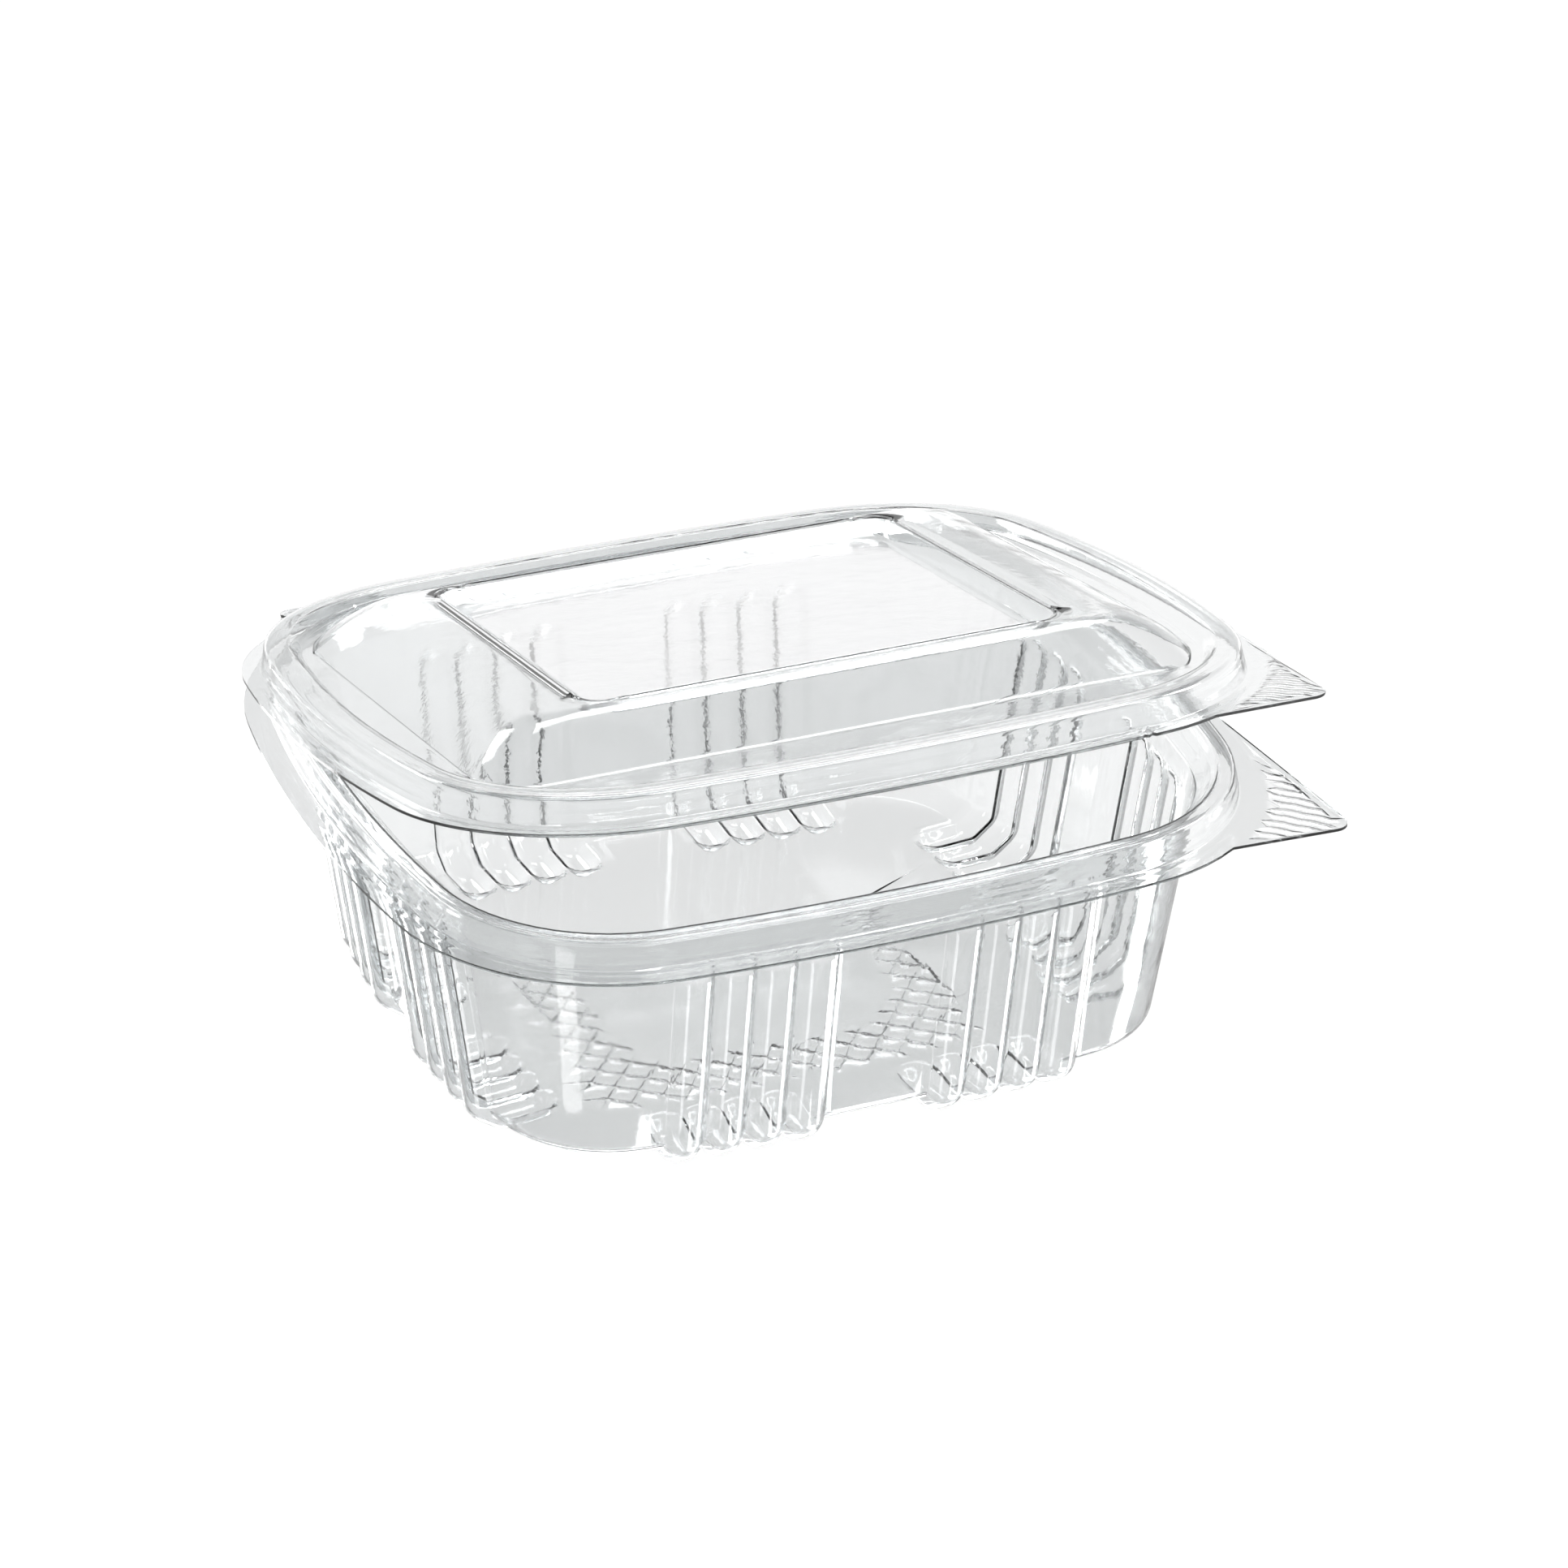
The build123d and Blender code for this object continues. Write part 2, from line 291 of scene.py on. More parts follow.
@dataclass
class MidSheet:
    """The middle surface of a sheet, which grows by loops, bridges and filled outlines.

    Args:
        sheet: thickness that the surface gets at the end, in mm.
        points: points of the surface.
        faces: its faces, as indices of their points.
        painted_light_faces: places in faces of those that get the paler panel finish, painted light for the
            bright backdrop that the flat panel mirrors.
    """

    sheet: float
    points: list[Vector] = field(default_factory=list)
    faces: list[tuple[int, ...]] = field(default_factory=list)
    painted_light_faces: list[int] = field(default_factory=list)

    def add(self, points: Sequence[Vector]) -> Loop:
        """Add points and give their indices."""
        first = len(self.points)
        self.points.extend(points)
        return list(range(first, len(self.points)))

    def bridge(self, outer: Loop, inner: Loop) -> None:
        """Join two closed loops of the same length with quads that face up."""
        count = len(outer)
        for index in range(count):
            after = (index + 1) % count
            self.faces.append((outer[index], outer[after], inner[after], inner[index]))

    def fill(self, outline: Loop, inner: Sequence[Vector], level: Callable[[Vector], float]) -> None:
        """Fill an outline with triangles that face up.

        Args:
            outline: indices of the outline, counter-clockwise from above.
            inner: plan points that the filling passes through.
            level: gives the level of a new plan point.
        """
        plan = [self.points[index].xy for index in outline] + [point.xy for point in inner]
        loop = list(range(len(outline)))
        made, _, triangles, sources, _, _ = delaunay_2d_cdt(plan, [], [loop], 1, 1e-5)
        known = {}
        for index, source in enumerate(sources):
            borders = [item for item in source if item < len(outline)]
            if borders:
                known[index] = outline[borders[0]]
            else:
                place = made[index]
                known[index] = self.add([Vector((place.x, place.y, level(place)))])[0]
        for triangle in triangles:
            face = [known[index] for index in triangle]
            one, two, three = (self.points[index].xy for index in face[:3])
            if (two - one).cross(three - one) < 0:
                face.reverse()
            self.faces.append(tuple(face))

    def shifts(self, corners: Sequence[bmesh.types.BMVert]) -> list[Vector]:
        """How far each point moves to reach the sheet's upper face."""
        shifts = []
        for corner in corners:
            faces = corner.link_faces
            lean = sum(corner.normal.dot(face.normal) for face in faces) / max(len(faces), 1)
            shifts.append(corner.normal * (self.sheet / 2 / max(lean, LEAST_LEAN)))
        return shifts

    def thicken(self, name: str, place: Matrix | None = None) -> bpy.types.Object:
        """Make the closed object, half a sheet to each side of the middle.

        Args:
            name: name of the object.
            place: where the whole sheet is moved to, in mm.

        Returns:
            The object, linked to the scene, with its mesh in metres.
        """
        draft = bmesh.new()
        corners = [draft.verts.new(point) for point in self.points]
        for face in self.faces:
            draft.faces.new([corners[index] for index in face])
        draft.verts.index_update()
        draft.normal_update()
        shifts = self.shifts(corners)
        count = len(corners)
        sides = 2 * len(self.faces)
        points = [point + shift for point, shift in zip(self.points, shifts)]
        points += [point - shift for point, shift in zip(self.points, shifts)]
        faces = list(self.faces)
        faces += [tuple(index + count for index in reversed(face)) for face in self.faces]
        for edge in draft.edges:
            if len(edge.link_faces) == 1:
                loop = edge.link_loops[0]
                one, two = loop.vert.index, loop.link_loop_next.vert.index
                faces.append((two, one, one + count, two + count))
        draft.free()
        matrix = place if place is not None else Matrix.Identity(4)
        mesh = bpy.data.meshes.new(name)
        mesh.from_pydata([(matrix @ point) * MM for point in points], [], faces)
        mesh.shade_smooth()
        # The cut edges get the dark grey finish: painted shade for the sheet's dark edge lines.
        for polygon in mesh.polygons[sides:]:
            polygon.material_index = FinishPlace.CUT_EDGE_PAINTED_SHADE.value
        # The panel's faces get the paler finish: painted light for the bright backdrop that the flat panel
        # mirrors.
        for index in self.painted_light_faces:
            mesh.polygons[index].material_index = FinishPlace.PANEL.value
            mesh.polygons[index + len(self.faces)].material_index = FinishPlace.PANEL.value
        mesh.set_sharp_from_angle(angle=math.radians(SHARP_DEGREES))
        piece = bpy.data.objects.new(name, mesh)
        bpy.context.collection.objects.link(piece)
        LOG.info("%s: %d faces", name, len(mesh.polygons))
        return piece


@dataclass(frozen=True)
class Grip:
    """The toothed stretch of the flange's edge beside the tab.

    Args:
        start: distance of its start from the middle, towards the tab.
        pitch: distance from one tooth to the next.
        depth: depth of a tooth into the flange.
        lift: height of the ticks that run in from the teeth, downwards if negative.
        reach: length of those ticks.
        end_share: share of their height that they keep at their ends.
        fade: teeth over which the first ones grow to their full depth.
    """

    start: float
    pitch: float = 1.3
    depth: float = 0.4
    lift: float = 0.16
    reach: float = 3.0
    end_share: float = 0.3
    fade: int = 2


@dataclass(frozen=True)
class Tab:
    """The corner tab: a flat plate with a diamond knurl, outside the flange at the front right.

    Args:
        back: plan point where it leaves the rim at the right.
        tip: its corner.
        front: plan point where it meets the rim at the front.
        tip_radius: radius of the corner.
        tip_steps: steps round the corner.
        knurl_pitch: distance between the lines of the knurl.
        knurl_turn: angle of its main lines, in degrees.
        knurl_reach: distance from the corner that the knurl covers.
        knurl_height: height of its main lines, downwards if negative.
        cross_height: height of the lines across them.
        margin: smooth band round the knurl.
    """

    back: tuple[float, float]
    tip: tuple[float, float]
    front: tuple[float, float]
    tip_radius: float = 2.5
    tip_steps: int = 8
    knurl_pitch: float = 2.0
    knurl_turn: float = -45.0
    knurl_reach: float = 60.0
    knurl_height: float = 0.3
    cross_height: float = 0.12
    margin: float = 0.8

    def outline(self) -> list[Vector]:
        """Points of the free edge, counter-clockwise, with the corner rounded."""
        front, tip, back = Vector(self.front), Vector(self.tip), Vector(self.back)
        to_front = (front - tip).normalized()
        to_back = (back - tip).normalized()
        half = to_front.angle(to_back) / 2
        centre = tip + (to_front + to_back).normalized() * (self.tip_radius / math.sin(half))
        first = centre - tip - to_front * ((centre - tip).dot(to_front))
        turn = math.pi - 2 * half
        steps = self.tip_steps
        return [centre + Matrix.Rotation(turn * step / steps, 2) @ -first for step in range(steps + 1)]


@dataclass(frozen=True)
class FoldStrip:
    """The flat strip between the back of a flange and the fold.

    Args:
        length: its length along the fold.
        reach: how far it stands out from the flange, and the radius of its corners.
        clearance: gap between it and the fold's axis.
        steps: steps round each corner.
    """

    length: float = 104.0
    reach: float = 2.0
    clearance: float = 0.3
    steps: int = 5

    def outline(self, width: float) -> list[Vector]:
        """Points of the free edge, counter-clockwise, from the right to the left."""
        edge = width / 2 + self.reach - self.clearance
        half = self.length / 2
        points = []
        for sign, first in ((1, 0.0), (-1, math.pi / 2)):
            for step in range(self.steps + 1):
                angle = first + math.pi / 2 * step / self.steps
                bend = Vector((math.cos(angle), math.sin(angle))) * self.reach
                points.append(Vector((sign * (half - self.reach), edge - self.reach)) + bend)
        return points


@dataclass(frozen=True)
class Ribs:
    """The ribs: two groups on each wall, each rib a J that ends as a foot under the floor.

    Args:
        pitch: distance from one rib to the next.
        bulge: how far a rib stands out from the wall and under the floor.
        count: ribs in a group.
        long_group: distance of each group from the middle of a long side.
        short_group: the same on a short side.
        end_length: length of a rib's rounded top or toe.
        half_share: half the width of a rib, as a share of the pitch.
        shares: places across a rib at which lines of the sheet lie.
        fullness: power that keeps a rib's top broad.
        flare: power that eases its sides into the wall.
    """

    pitch: float = 6.4
    bulge: float = 2.3
    count: int = 4
    long_group: float = 21.3
    short_group: float = 19.0
    end_length: float = 2.9
    half_share: float = 0.49
    shares: tuple[float, ...] = (
        -1.0, -0.92, -0.8, -0.64, -0.44, -0.22, 0.0, 0.22, 0.44, 0.64, 0.8, 0.92, 1.0
    )
    fullness: float = 2.6
    flare: float = 1.25

    def half_angle(self, arc: Arc) -> float:
        """Angle that half a rib takes up on an arc."""
        return self.half_share * self.pitch / arc.radius

    def centres(self, arc: Arc) -> list[float]:
        """Angles of the ribs on a side's arc."""
        group = self.long_group if arc.side is Side.LONG else self.short_group
        middle = arc.start + arc.sweep / 2
        steps = [(index - (self.count - 1) / 2) * self.pitch for index in range(self.count)]
        return [middle + math.asin((sign * group + step) / arc.radius) for sign in (-1, 1) for step in steps]

    def profile(self, across: float, ends: float) -> float:
        """Height of a rib, as a share of its bulge, at a place across it and past the start of its end."""
        reach = min(math.hypot(across, ends), 1.0)
        return (1 - reach**self.fullness) ** self.flare


@dataclass
class Rim:
    """Lines across the rim, in order round the outline, and the loops that they make.

    Args:
        plan: the rim's outline.
        grip: the toothed stretch beside the tab.
        ribs: the ribs, or None on the lid.
        corner_steps: lines across each corner arc.
        spacing: greatest distance between lines on a side.
        fluting: the forming lines that run along the rim.
        fine_gap: distance under which lines of ribs or teeth get no line between them.
        tooth_end: distance of the last tooth from the corner, in half teeth.
        tooth_near: distance from a tooth within which a rib's line gives way, in half teeth.
    """

    plan: RimPlan
    grip: Grip
    ribs: Ribs | None
    corner_steps: int
    spacing: float
    fluting: Fluting = Fluting()
    fine_gap: float = 1.2
    tooth_end: float = 0.3
    tooth_near: float = 0.25

    def side_stations(self, arc: Arc, front: bool) -> list[Station]:
        """Lines across one side of the rim."""
        marks: dict[float, Station] = {}
        if self.ribs is not None:
            half = self.ribs.half_angle(arc)
            for centre in self.ribs.centres(arc):
                for share in self.ribs.shares:
                    marks[centre + share * half] = Station(arc, centre + share * half, share)
        if front:
            self.add_teeth(arc, marks)
        ordered = sorted(marks)
        edges = [arc.start] + ordered + [arc.start + arc.sweep]
        stations = []
        for one, two in zip(edges, edges[1:]):
            stations.append(marks.get(one, Station(arc, one)))
            gap = (two - one) * arc.radius
            inner = one in marks and two in marks and gap < self.fine_gap
            parts = 1 if inner else max(1, math.ceil(gap / self.spacing))
            for part in range(1, parts):
                stations.append(Station(arc, one + (two - one) * part / parts))
        return stations

    def add_teeth(self, arc: Arc, marks: dict[float, Station]) -> None:
        """Add the lines of the teeth to a side's lines, in place of the ribs' lines next to them.

        Args:
            arc: the side's arc.
            marks: the side's lines by their angles.
        """
        middle = arc.start + arc.sweep / 2
        half_tooth = self.grip.pitch / 2
        last = arc.start + arc.sweep - self.tooth_end * half_tooth / arc.radius
        near = self.tooth_near * half_tooth / arc.radius
        index = 0
        angle = middle + math.asin(self.grip.start / arc.radius)
        while angle <= last:
            for mark in [mark for mark in marks if abs(mark - angle) < near]:
                del marks[mark]
            ready = min(index / (2 * self.grip.fade), 1)
            marks[angle] = Station(arc, angle, self.across_at(arc, angle), (index % 2) * ready)
            index += 1
            angle = middle + math.asin((self.grip.start + index * half_tooth) / arc.radius)

    def across_at(self, arc: Arc, angle: float) -> float | None:
        """Place across the rib that an angle lies on, or None between ribs."""
        if self.ribs is None:
            return None
        half = self.ribs.half_angle(arc)
        for centre in self.ribs.centres(arc):
            if abs(angle - centre) < half:
                return (angle - centre) / half
        return None

    def stations(self) -> list[Station]:
        """All lines across the rim, counter-clockwise from the start of the front side."""
        lines: list[Station] = []
        for index, arc in enumerate(self.plan.arcs()):
            if arc.side is Side.CORNER:
                steps = self.corner_steps
                lines += [Station(arc, arc.start + arc.sweep * step / steps) for step in range(steps)]
            else:
                lines += self.side_stations(arc, front=index == 0)
        return lines

    def place(self, station: Station, row: Row, rib_run: tuple[float, float]) -> Vector:
        """The point of the sheet at a line across the rim and a row along it.

        Args:
            station: the line across the rim.
            row: the row.
            rib_run: distances along the sheet between which the ribs have their full section.
        """
        flute = self.fluting.lift(row.run)
        inset, level = row.inset + row.normal.x * flute, row.level + row.normal.y * flute
        if row.inset < self.grip.reach:
            ready = 1 - row.inset / self.grip.reach
            inset += self.grip.depth * station.notch * ready**3
            share = min(1.0, 4 * ready * (1 - ready) + self.grip.end_share)
            level += self.grip.lift * station.notch * share
        if self.ribs is not None and station.across is not None:
            past = max(rib_run[0] - row.run, row.run - rib_run[1], 0)
            bulge = self.ribs.bulge * self.ribs.profile(station.across, past / self.ribs.end_length)
            inset -= row.normal.x * bulge
            level -= row.normal.y * bulge
        plan = station.place(inset)
        return Vector((plan.x, plan.y, level))

    def loops(self, sheet: MidSheet, rows: list[Row], rib_run: tuple[float, float]) -> list[Loop]:
        """Add the rows as loops and bridge them.

        Args:
            sheet: the surface that they are added to.
            rows: rows of the sheet, from the edge inwards.
            rib_run: distances along the sheet between which the ribs have their full section.

        Returns:
            The loops in the order of the rows.
        """
        stations = self.stations()
        loops = []
        for row in rows:
            loops.append(sheet.add([self.place(station, row, rib_run) for station in stations]))
        for outer, inner in zip(loops, loops[1:]):
            sheet.bridge(outer, inner)
        return loops


@dataclass(frozen=True)
class Hatch:
    """The raised diamond hatch on the tray's floor, round a smooth middle.

    Args:
        outer_low: lowest plan coordinates of the field.
        outer_high: highest plan coordinates of the field.
        inner_low: lowest plan coordinates of the smooth middle.
        inner_high: highest plan coordinates of the smooth middle.
        inner_radius: corner radius of the smooth middle.
        pitch: distance between its lines.
        turn: angle of the first family of lines, in degrees.
        ridge_half: half the width of a line.
        height: height of a line.
    """

    outer_low: tuple[float, float] = (-35.5, -38.5)
    outer_high: tuple[float, float] = (26.0, 11.0)
    inner_low: tuple[float, float] = (-27.5, -24.0)
    inner_high: tuple[float, float] = (19.0, 40.0)
    inner_radius: float = 13.0
    pitch: float = 3.7
    turn: float = -40.0
    ridge_half: float = 0.54
    height: float = 0.27

    def inside(self, place: Vector) -> float:
        """Share of the full height at a plan point: 1 well inside the field and 0 outside it."""
        low, high = Vector(self.outer_low), Vector(self.outer_high)
        outer = max(low.x - place.x, place.x - high.x, low.y - place.y, place.y - high.y)
        low, high = Vector(self.inner_low), Vector(self.inner_high)
        cut_x = max(low.x - place.x, place.x - high.x) + self.inner_radius
        cut_y = max(low.y - place.y, place.y - high.y) + self.inner_radius
        inner = math.hypot(max(cut_x, 0), max(cut_y, 0)) + min(max(cut_x, cut_y), 0) - self.inner_radius
        fade = min(-outer, inner) / self.ridge_half
        return min(max(fade, 0.0), 1.0)

    def across(self, place: Vector) -> tuple[float, float]:
        """Distances of a plan point from the nearest line of each family."""
        away = Matrix.Rotation(-math.radians(self.turn), 2) @ place
        gaps = [(value + self.pitch / 2) % self.pitch - self.pitch / 2 for value in away]
        return abs(gaps[0]), abs(gaps[1])

    def lift(self, place: Vector) -> float:
        """Height of the hatch at a plan point."""
        near = min(self.across(place))
        if near >= self.ridge_half:
            return 0.0
        wave = 0.5 + 0.5 * math.cos(math.pi * near / self.ridge_half)
        return self.height * wave * self.inside(place)

    def points(self) -> list[Vector]:
        """Plan points that carry the lines of the hatch."""
        shares = (-1.0, -0.5, 0.0, 0.5, 1.0)
        reach = math.ceil(Vector(self.outer_low).length / self.pitch)
        offsets = [
            index * self.pitch + share * self.ridge_half
            for index in range(-reach, reach + 1)
            for share in shares
        ]
        turned = Matrix.Rotation(math.radians(self.turn), 2)
        places = [turned @ Vector((one, two)) for one in offsets for two in offsets]
        low, high = self.outer_low, self.outer_high
        return [
            place
            for place in places
            if low[0] < place.x < high[0] and low[1] < place.y < high[1]
        ]


@dataclass(frozen=True)
class Plate:
    """A flat plate outside a flange's edge, with the pattern that it carries.

    Args:
        free: points of its free edge, counter-clockwise.
        first: plan point near which the free edge leaves the rim.
        last: plan point near which it comes back.
        places: plan points that carry the pattern.
        height: gives the level of such a point.
        margin: smooth band round the pattern.
    """

    free: Sequence[Vector]
    first: Vector
    last: Vector
    places: Sequence[Vector]
    height: Callable[[Vector], float]
    margin: float = 0.0

    def join(self, sheet: MidSheet, edge: Loop, level: float) -> None:
        """Fill the plate between the flange's edge and its free edge.

        Args:
            sheet: the surface that the plate joins.
            edge: indices of the flange's edge.
            level: level of the plate.
        """
        plan = [sheet.points[index].xy for index in edge]
        start = min(range(len(edge)), key=lambda index: (plan[index] - self.first).length)
        end = min(range(len(edge)), key=lambda index: (plan[index] - self.last).length)
        count = (end - start) % len(edge)
        along = [edge[(start + step) % len(edge)] for step in range(count + 1)]
        fresh = sheet.add([Vector((point.x, point.y, level)) for point in self.free])
        outline = [along[0], *fresh, *reversed(along[1:])]
        shape = [sheet.points[index].xy for index in outline]
        inner = [place for place in self.places if inside_outline(place, shape, self.margin)]
        sheet.fill(outline, inner, self.height)


@dataclass
class FlangeEdge:
    """What stands outside a flange's edge: the tab, the fold strip and their filling.

    Args:
        tab: the corner tab.
        strip: the strip towards the fold.
        width: width of the rim.
    """

    tab: Tab
    strip: FoldStrip
    width: float

    def dress(self, sheet: MidSheet, edge: Loop, level: float) -> None:
        """Add the tab and the strip outside a flange.

        Args:
            sheet: the surface that they are added to.
            edge: indices of the flange's edge, counter-clockwise from the front.
            level: level of the middle of the flange.
        """
        places, height = self.knurl(level)
        front, back = Vector(self.tab.front), Vector(self.tab.back)
        Plate(self.tab.outline(), front, back, places, height, self.tab.margin).join(sheet, edge, level)
        strip = self.strip.outline(self.width)
        Plate(strip, strip[0], strip[-1], (), lambda place: level).join(sheet, edge, level)

    def knurl(self, level: float) -> tuple[list[Vector], Callable[[Vector], float]]:
        """Plan points of the tab's knurl, and the level that it gives a plan point."""
        tab = self.tab
        turned = Matrix.Rotation(math.radians(tab.knurl_turn), 2)
        corner = Vector(tab.tip)
        step = tab.knurl_pitch / 4
        count = math.ceil(tab.knurl_reach / step)
        places = []
        for one in range(-count, count):
            for two in range(-count // 4, count // 4):
                places.append(corner + turned @ Vector((two * 4 * step, one * step)))

        def height(place: Vector) -> float:
            """Level of the knurl at a plan point."""
            away = turned.inverted() @ (place - corner)
            main = 0.5 + 0.5 * math.cos(2 * math.pi * away.y / tab.knurl_pitch)
            cross = 0.5 + 0.5 * math.cos(2 * math.pi * away.x / (2 * tab.knurl_pitch))
            return level + tab.knurl_height * main + tab.cross_height * cross

        return places, height


def inside_outline(place: Vector, outline: Sequence[Vector], margin: float) -> bool:
    """True if a plan point lies inside an outline and at least a margin from it."""
    within = False
    for one, two in zip(outline, [*outline[1:], outline[0]]):
        if (one.y > place.y) != (two.y > place.y):
            if place.x < one.x + (place.y - one.y) / (two.y - one.y) * (two.x - one.x):
                within = not within
        ahead = two - one
        if ahead.length_squared > 0:
            share = min(max((place - one).dot(ahead) / ahead.length_squared, 0), 1)
            if (place - one - ahead * share).length < margin:
                return False
    return within


@dataclass(frozen=True)
class FormingRipple:
    """The slight waviness that forming leaves in a thin sheet, as a node group.

    Args:
        wave_scale: scale of the broad waves, in waves a metre.
        grain_scale: scale of the fine grain.
        haze_start: noise value at which haze starts.
        haze_full: noise value at which it is full.
    """

    wave_scale: float = 95.0
    grain_scale: float = 900.0
    haze_start: float = 0.45
    haze_full: float = 0.7

    def group(self) -> bpy.types.NodeTree:
        """The group: gives a height and a haze mask from three strengths."""
        tree = bpy.data.node_groups.new("forming_ripple", "ShaderNodeTree")
        face = tree.interface
        for name, default in (("Wave", 0.6), ("Grain", 0.1), ("Haze", 0.5)):
            socket = face.new_socket(name, in_out="INPUT", socket_type="NodeSocketFloat")
            socket.default_value = default
        for name in ("Height", "Haze Mask"):
            face.new_socket(name, in_out="OUTPUT", socket_type="NodeSocketFloat")
        nodes, links = tree.nodes, tree.links
        given = nodes.new("NodeGroupInput")
        taken = nodes.new("NodeGroupOutput")
        place = nodes.new("ShaderNodeTexCoord")
        layers = []
        for scale, detail, strength in ((self.wave_scale, 2.0, "Wave"), (self.grain_scale, 3.0, "Grain")):
            noise = nodes.new("ShaderNodeTexNoise")
            noise.inputs["Scale"].default_value = scale
            noise.inputs["Detail"].default_value = detail
            links.new(place.outputs["Object"], noise.inputs["Vector"])
            part = nodes.new("ShaderNodeMath")
            part.operation = "MULTIPLY"
            links.new(noise.outputs["Fac"], part.inputs[0])
            links.new(given.outputs[strength], part.inputs[1])
            layers.append(part)
        total = nodes.new("ShaderNodeMath")
        total.operation = "ADD"
        links.new(layers[0].outputs[0], total.inputs[0])
        links.new(layers[1].outputs[0], total.inputs[1])
        links.new(total.outputs[0], taken.inputs["Height"])
        blotch = nodes.new("ShaderNodeTexNoise")
        blotch.inputs["Scale"].default_value = self.wave_scale / 3
        links.new(place.outputs["Object"], blotch.inputs["Vector"])
        ramp = nodes.new("ShaderNodeMapRange")
        ramp.inputs["From Min"].default_value = self.haze_start
        ramp.inputs["From Max"].default_value = self.haze_full
        links.new(blotch.outputs["Fac"], ramp.inputs["Value"])
        haze = nodes.new("ShaderNodeMath")
        haze.operation = "MULTIPLY"
        links.new(ramp.outputs["Result"], haze.inputs[0])
        links.new(given.outputs["Haze"], haze.inputs[1])
        links.new(haze.outputs[0], taken.inputs["Haze Mask"])
        return tree


@dataclass(frozen=True)
class ClearSheetFinish:
    """Clear formed plastic: glass-like, faintly grey, with waves from forming.

    Args:
        name: name of the material.
        clear_tint: colour where the sheet is clearest.
        haze_tint: colour where it is a little hazy.
        smooth: roughness where it is clearest.
        dull: roughness where it is hazy.
        ior: index of refraction.
        wave: strength of the forming waves.
        grain: strength of the fine grain.
        depth: height of the waves, in metres.
        lamp_share: share of the light from lamps that one surface lets through.
    """

    name: str
    clear_tint: tuple[float, float, float] = (0.862, 0.872, 0.875)
    haze_tint: tuple[float, float, float] = (0.86, 0.87, 0.872)
    smooth: float = 0.012
    dull: float = 0.045
    ior: float = 1.57
    wave: float = 0.7
    grain: float = 0.05
    depth: float = 0.00012
    lamp_share: float = 0.93

    def material(self, ripple: bpy.types.NodeTree) -> bpy.types.Material:
        """The material, with its ripple taken from the shared group."""
        made = bpy.data.materials.new(self.name)
        made.use_nodes = True
        nodes, links = made.node_tree.nodes, made.node_tree.links
        nodes.clear()
        out = nodes.new("ShaderNodeOutputMaterial")
        glass = nodes.new("ShaderNodeBsdfPrincipled")
        glass.inputs["Transmission Weight"].default_value = 1.0
        glass.inputs["IOR"].default_value = self.ior
        waves = nodes.new("ShaderNodeGroup")
        waves.node_tree = ripple
        waves.inputs["Wave"].default_value = self.wave
        waves.inputs["Grain"].default_value = self.grain
        waves.inputs["Haze"].default_value = 1.0
        bump = nodes.new("ShaderNodeBump")
        bump.inputs["Strength"].default_value = 1.0
        bump.inputs["Distance"].default_value = self.depth
        links.new(waves.outputs["Height"], bump.inputs["Height"])
        links.new(bump.outputs["Normal"], glass.inputs["Normal"])
        tint = nodes.new("ShaderNodeMix")
        tint.data_type = "RGBA"
        tint.inputs["A"].default_value = (*self.clear_tint, 1)
        tint.inputs["B"].default_value = (*self.haze_tint, 1)
        links.new(waves.outputs["Haze Mask"], tint.inputs["Factor"])
        links.new(tint.outputs["Result"], glass.inputs["Base Color"])
        rough = nodes.new("ShaderNodeMapRange")
        rough.inputs["To Min"].default_value = self.smooth
        rough.inputs["To Max"].default_value = self.dull
        links.new(waves.outputs["Haze Mask"], rough.inputs["Value"])
        links.new(rough.outputs["Result"], glass.inputs["Roughness"])
        lamps = nodes.new("ShaderNodeLightPath")
        through = nodes.new("ShaderNodeBsdfTransparent")
        through.inputs["Color"].default_value = (self.lamp_share, self.lamp_share, self.lamp_share, 1)
        mix = nodes.new("ShaderNodeMixShader")
        links.new(lamps.outputs["Is Shadow Ray"], mix.inputs["Fac"])
        links.new(glass.outputs[0], mix.inputs[1])
        links.new(through.outputs[0], mix.inputs[2])
        links.new(mix.outputs[0], out.inputs["Surface"])
        return made


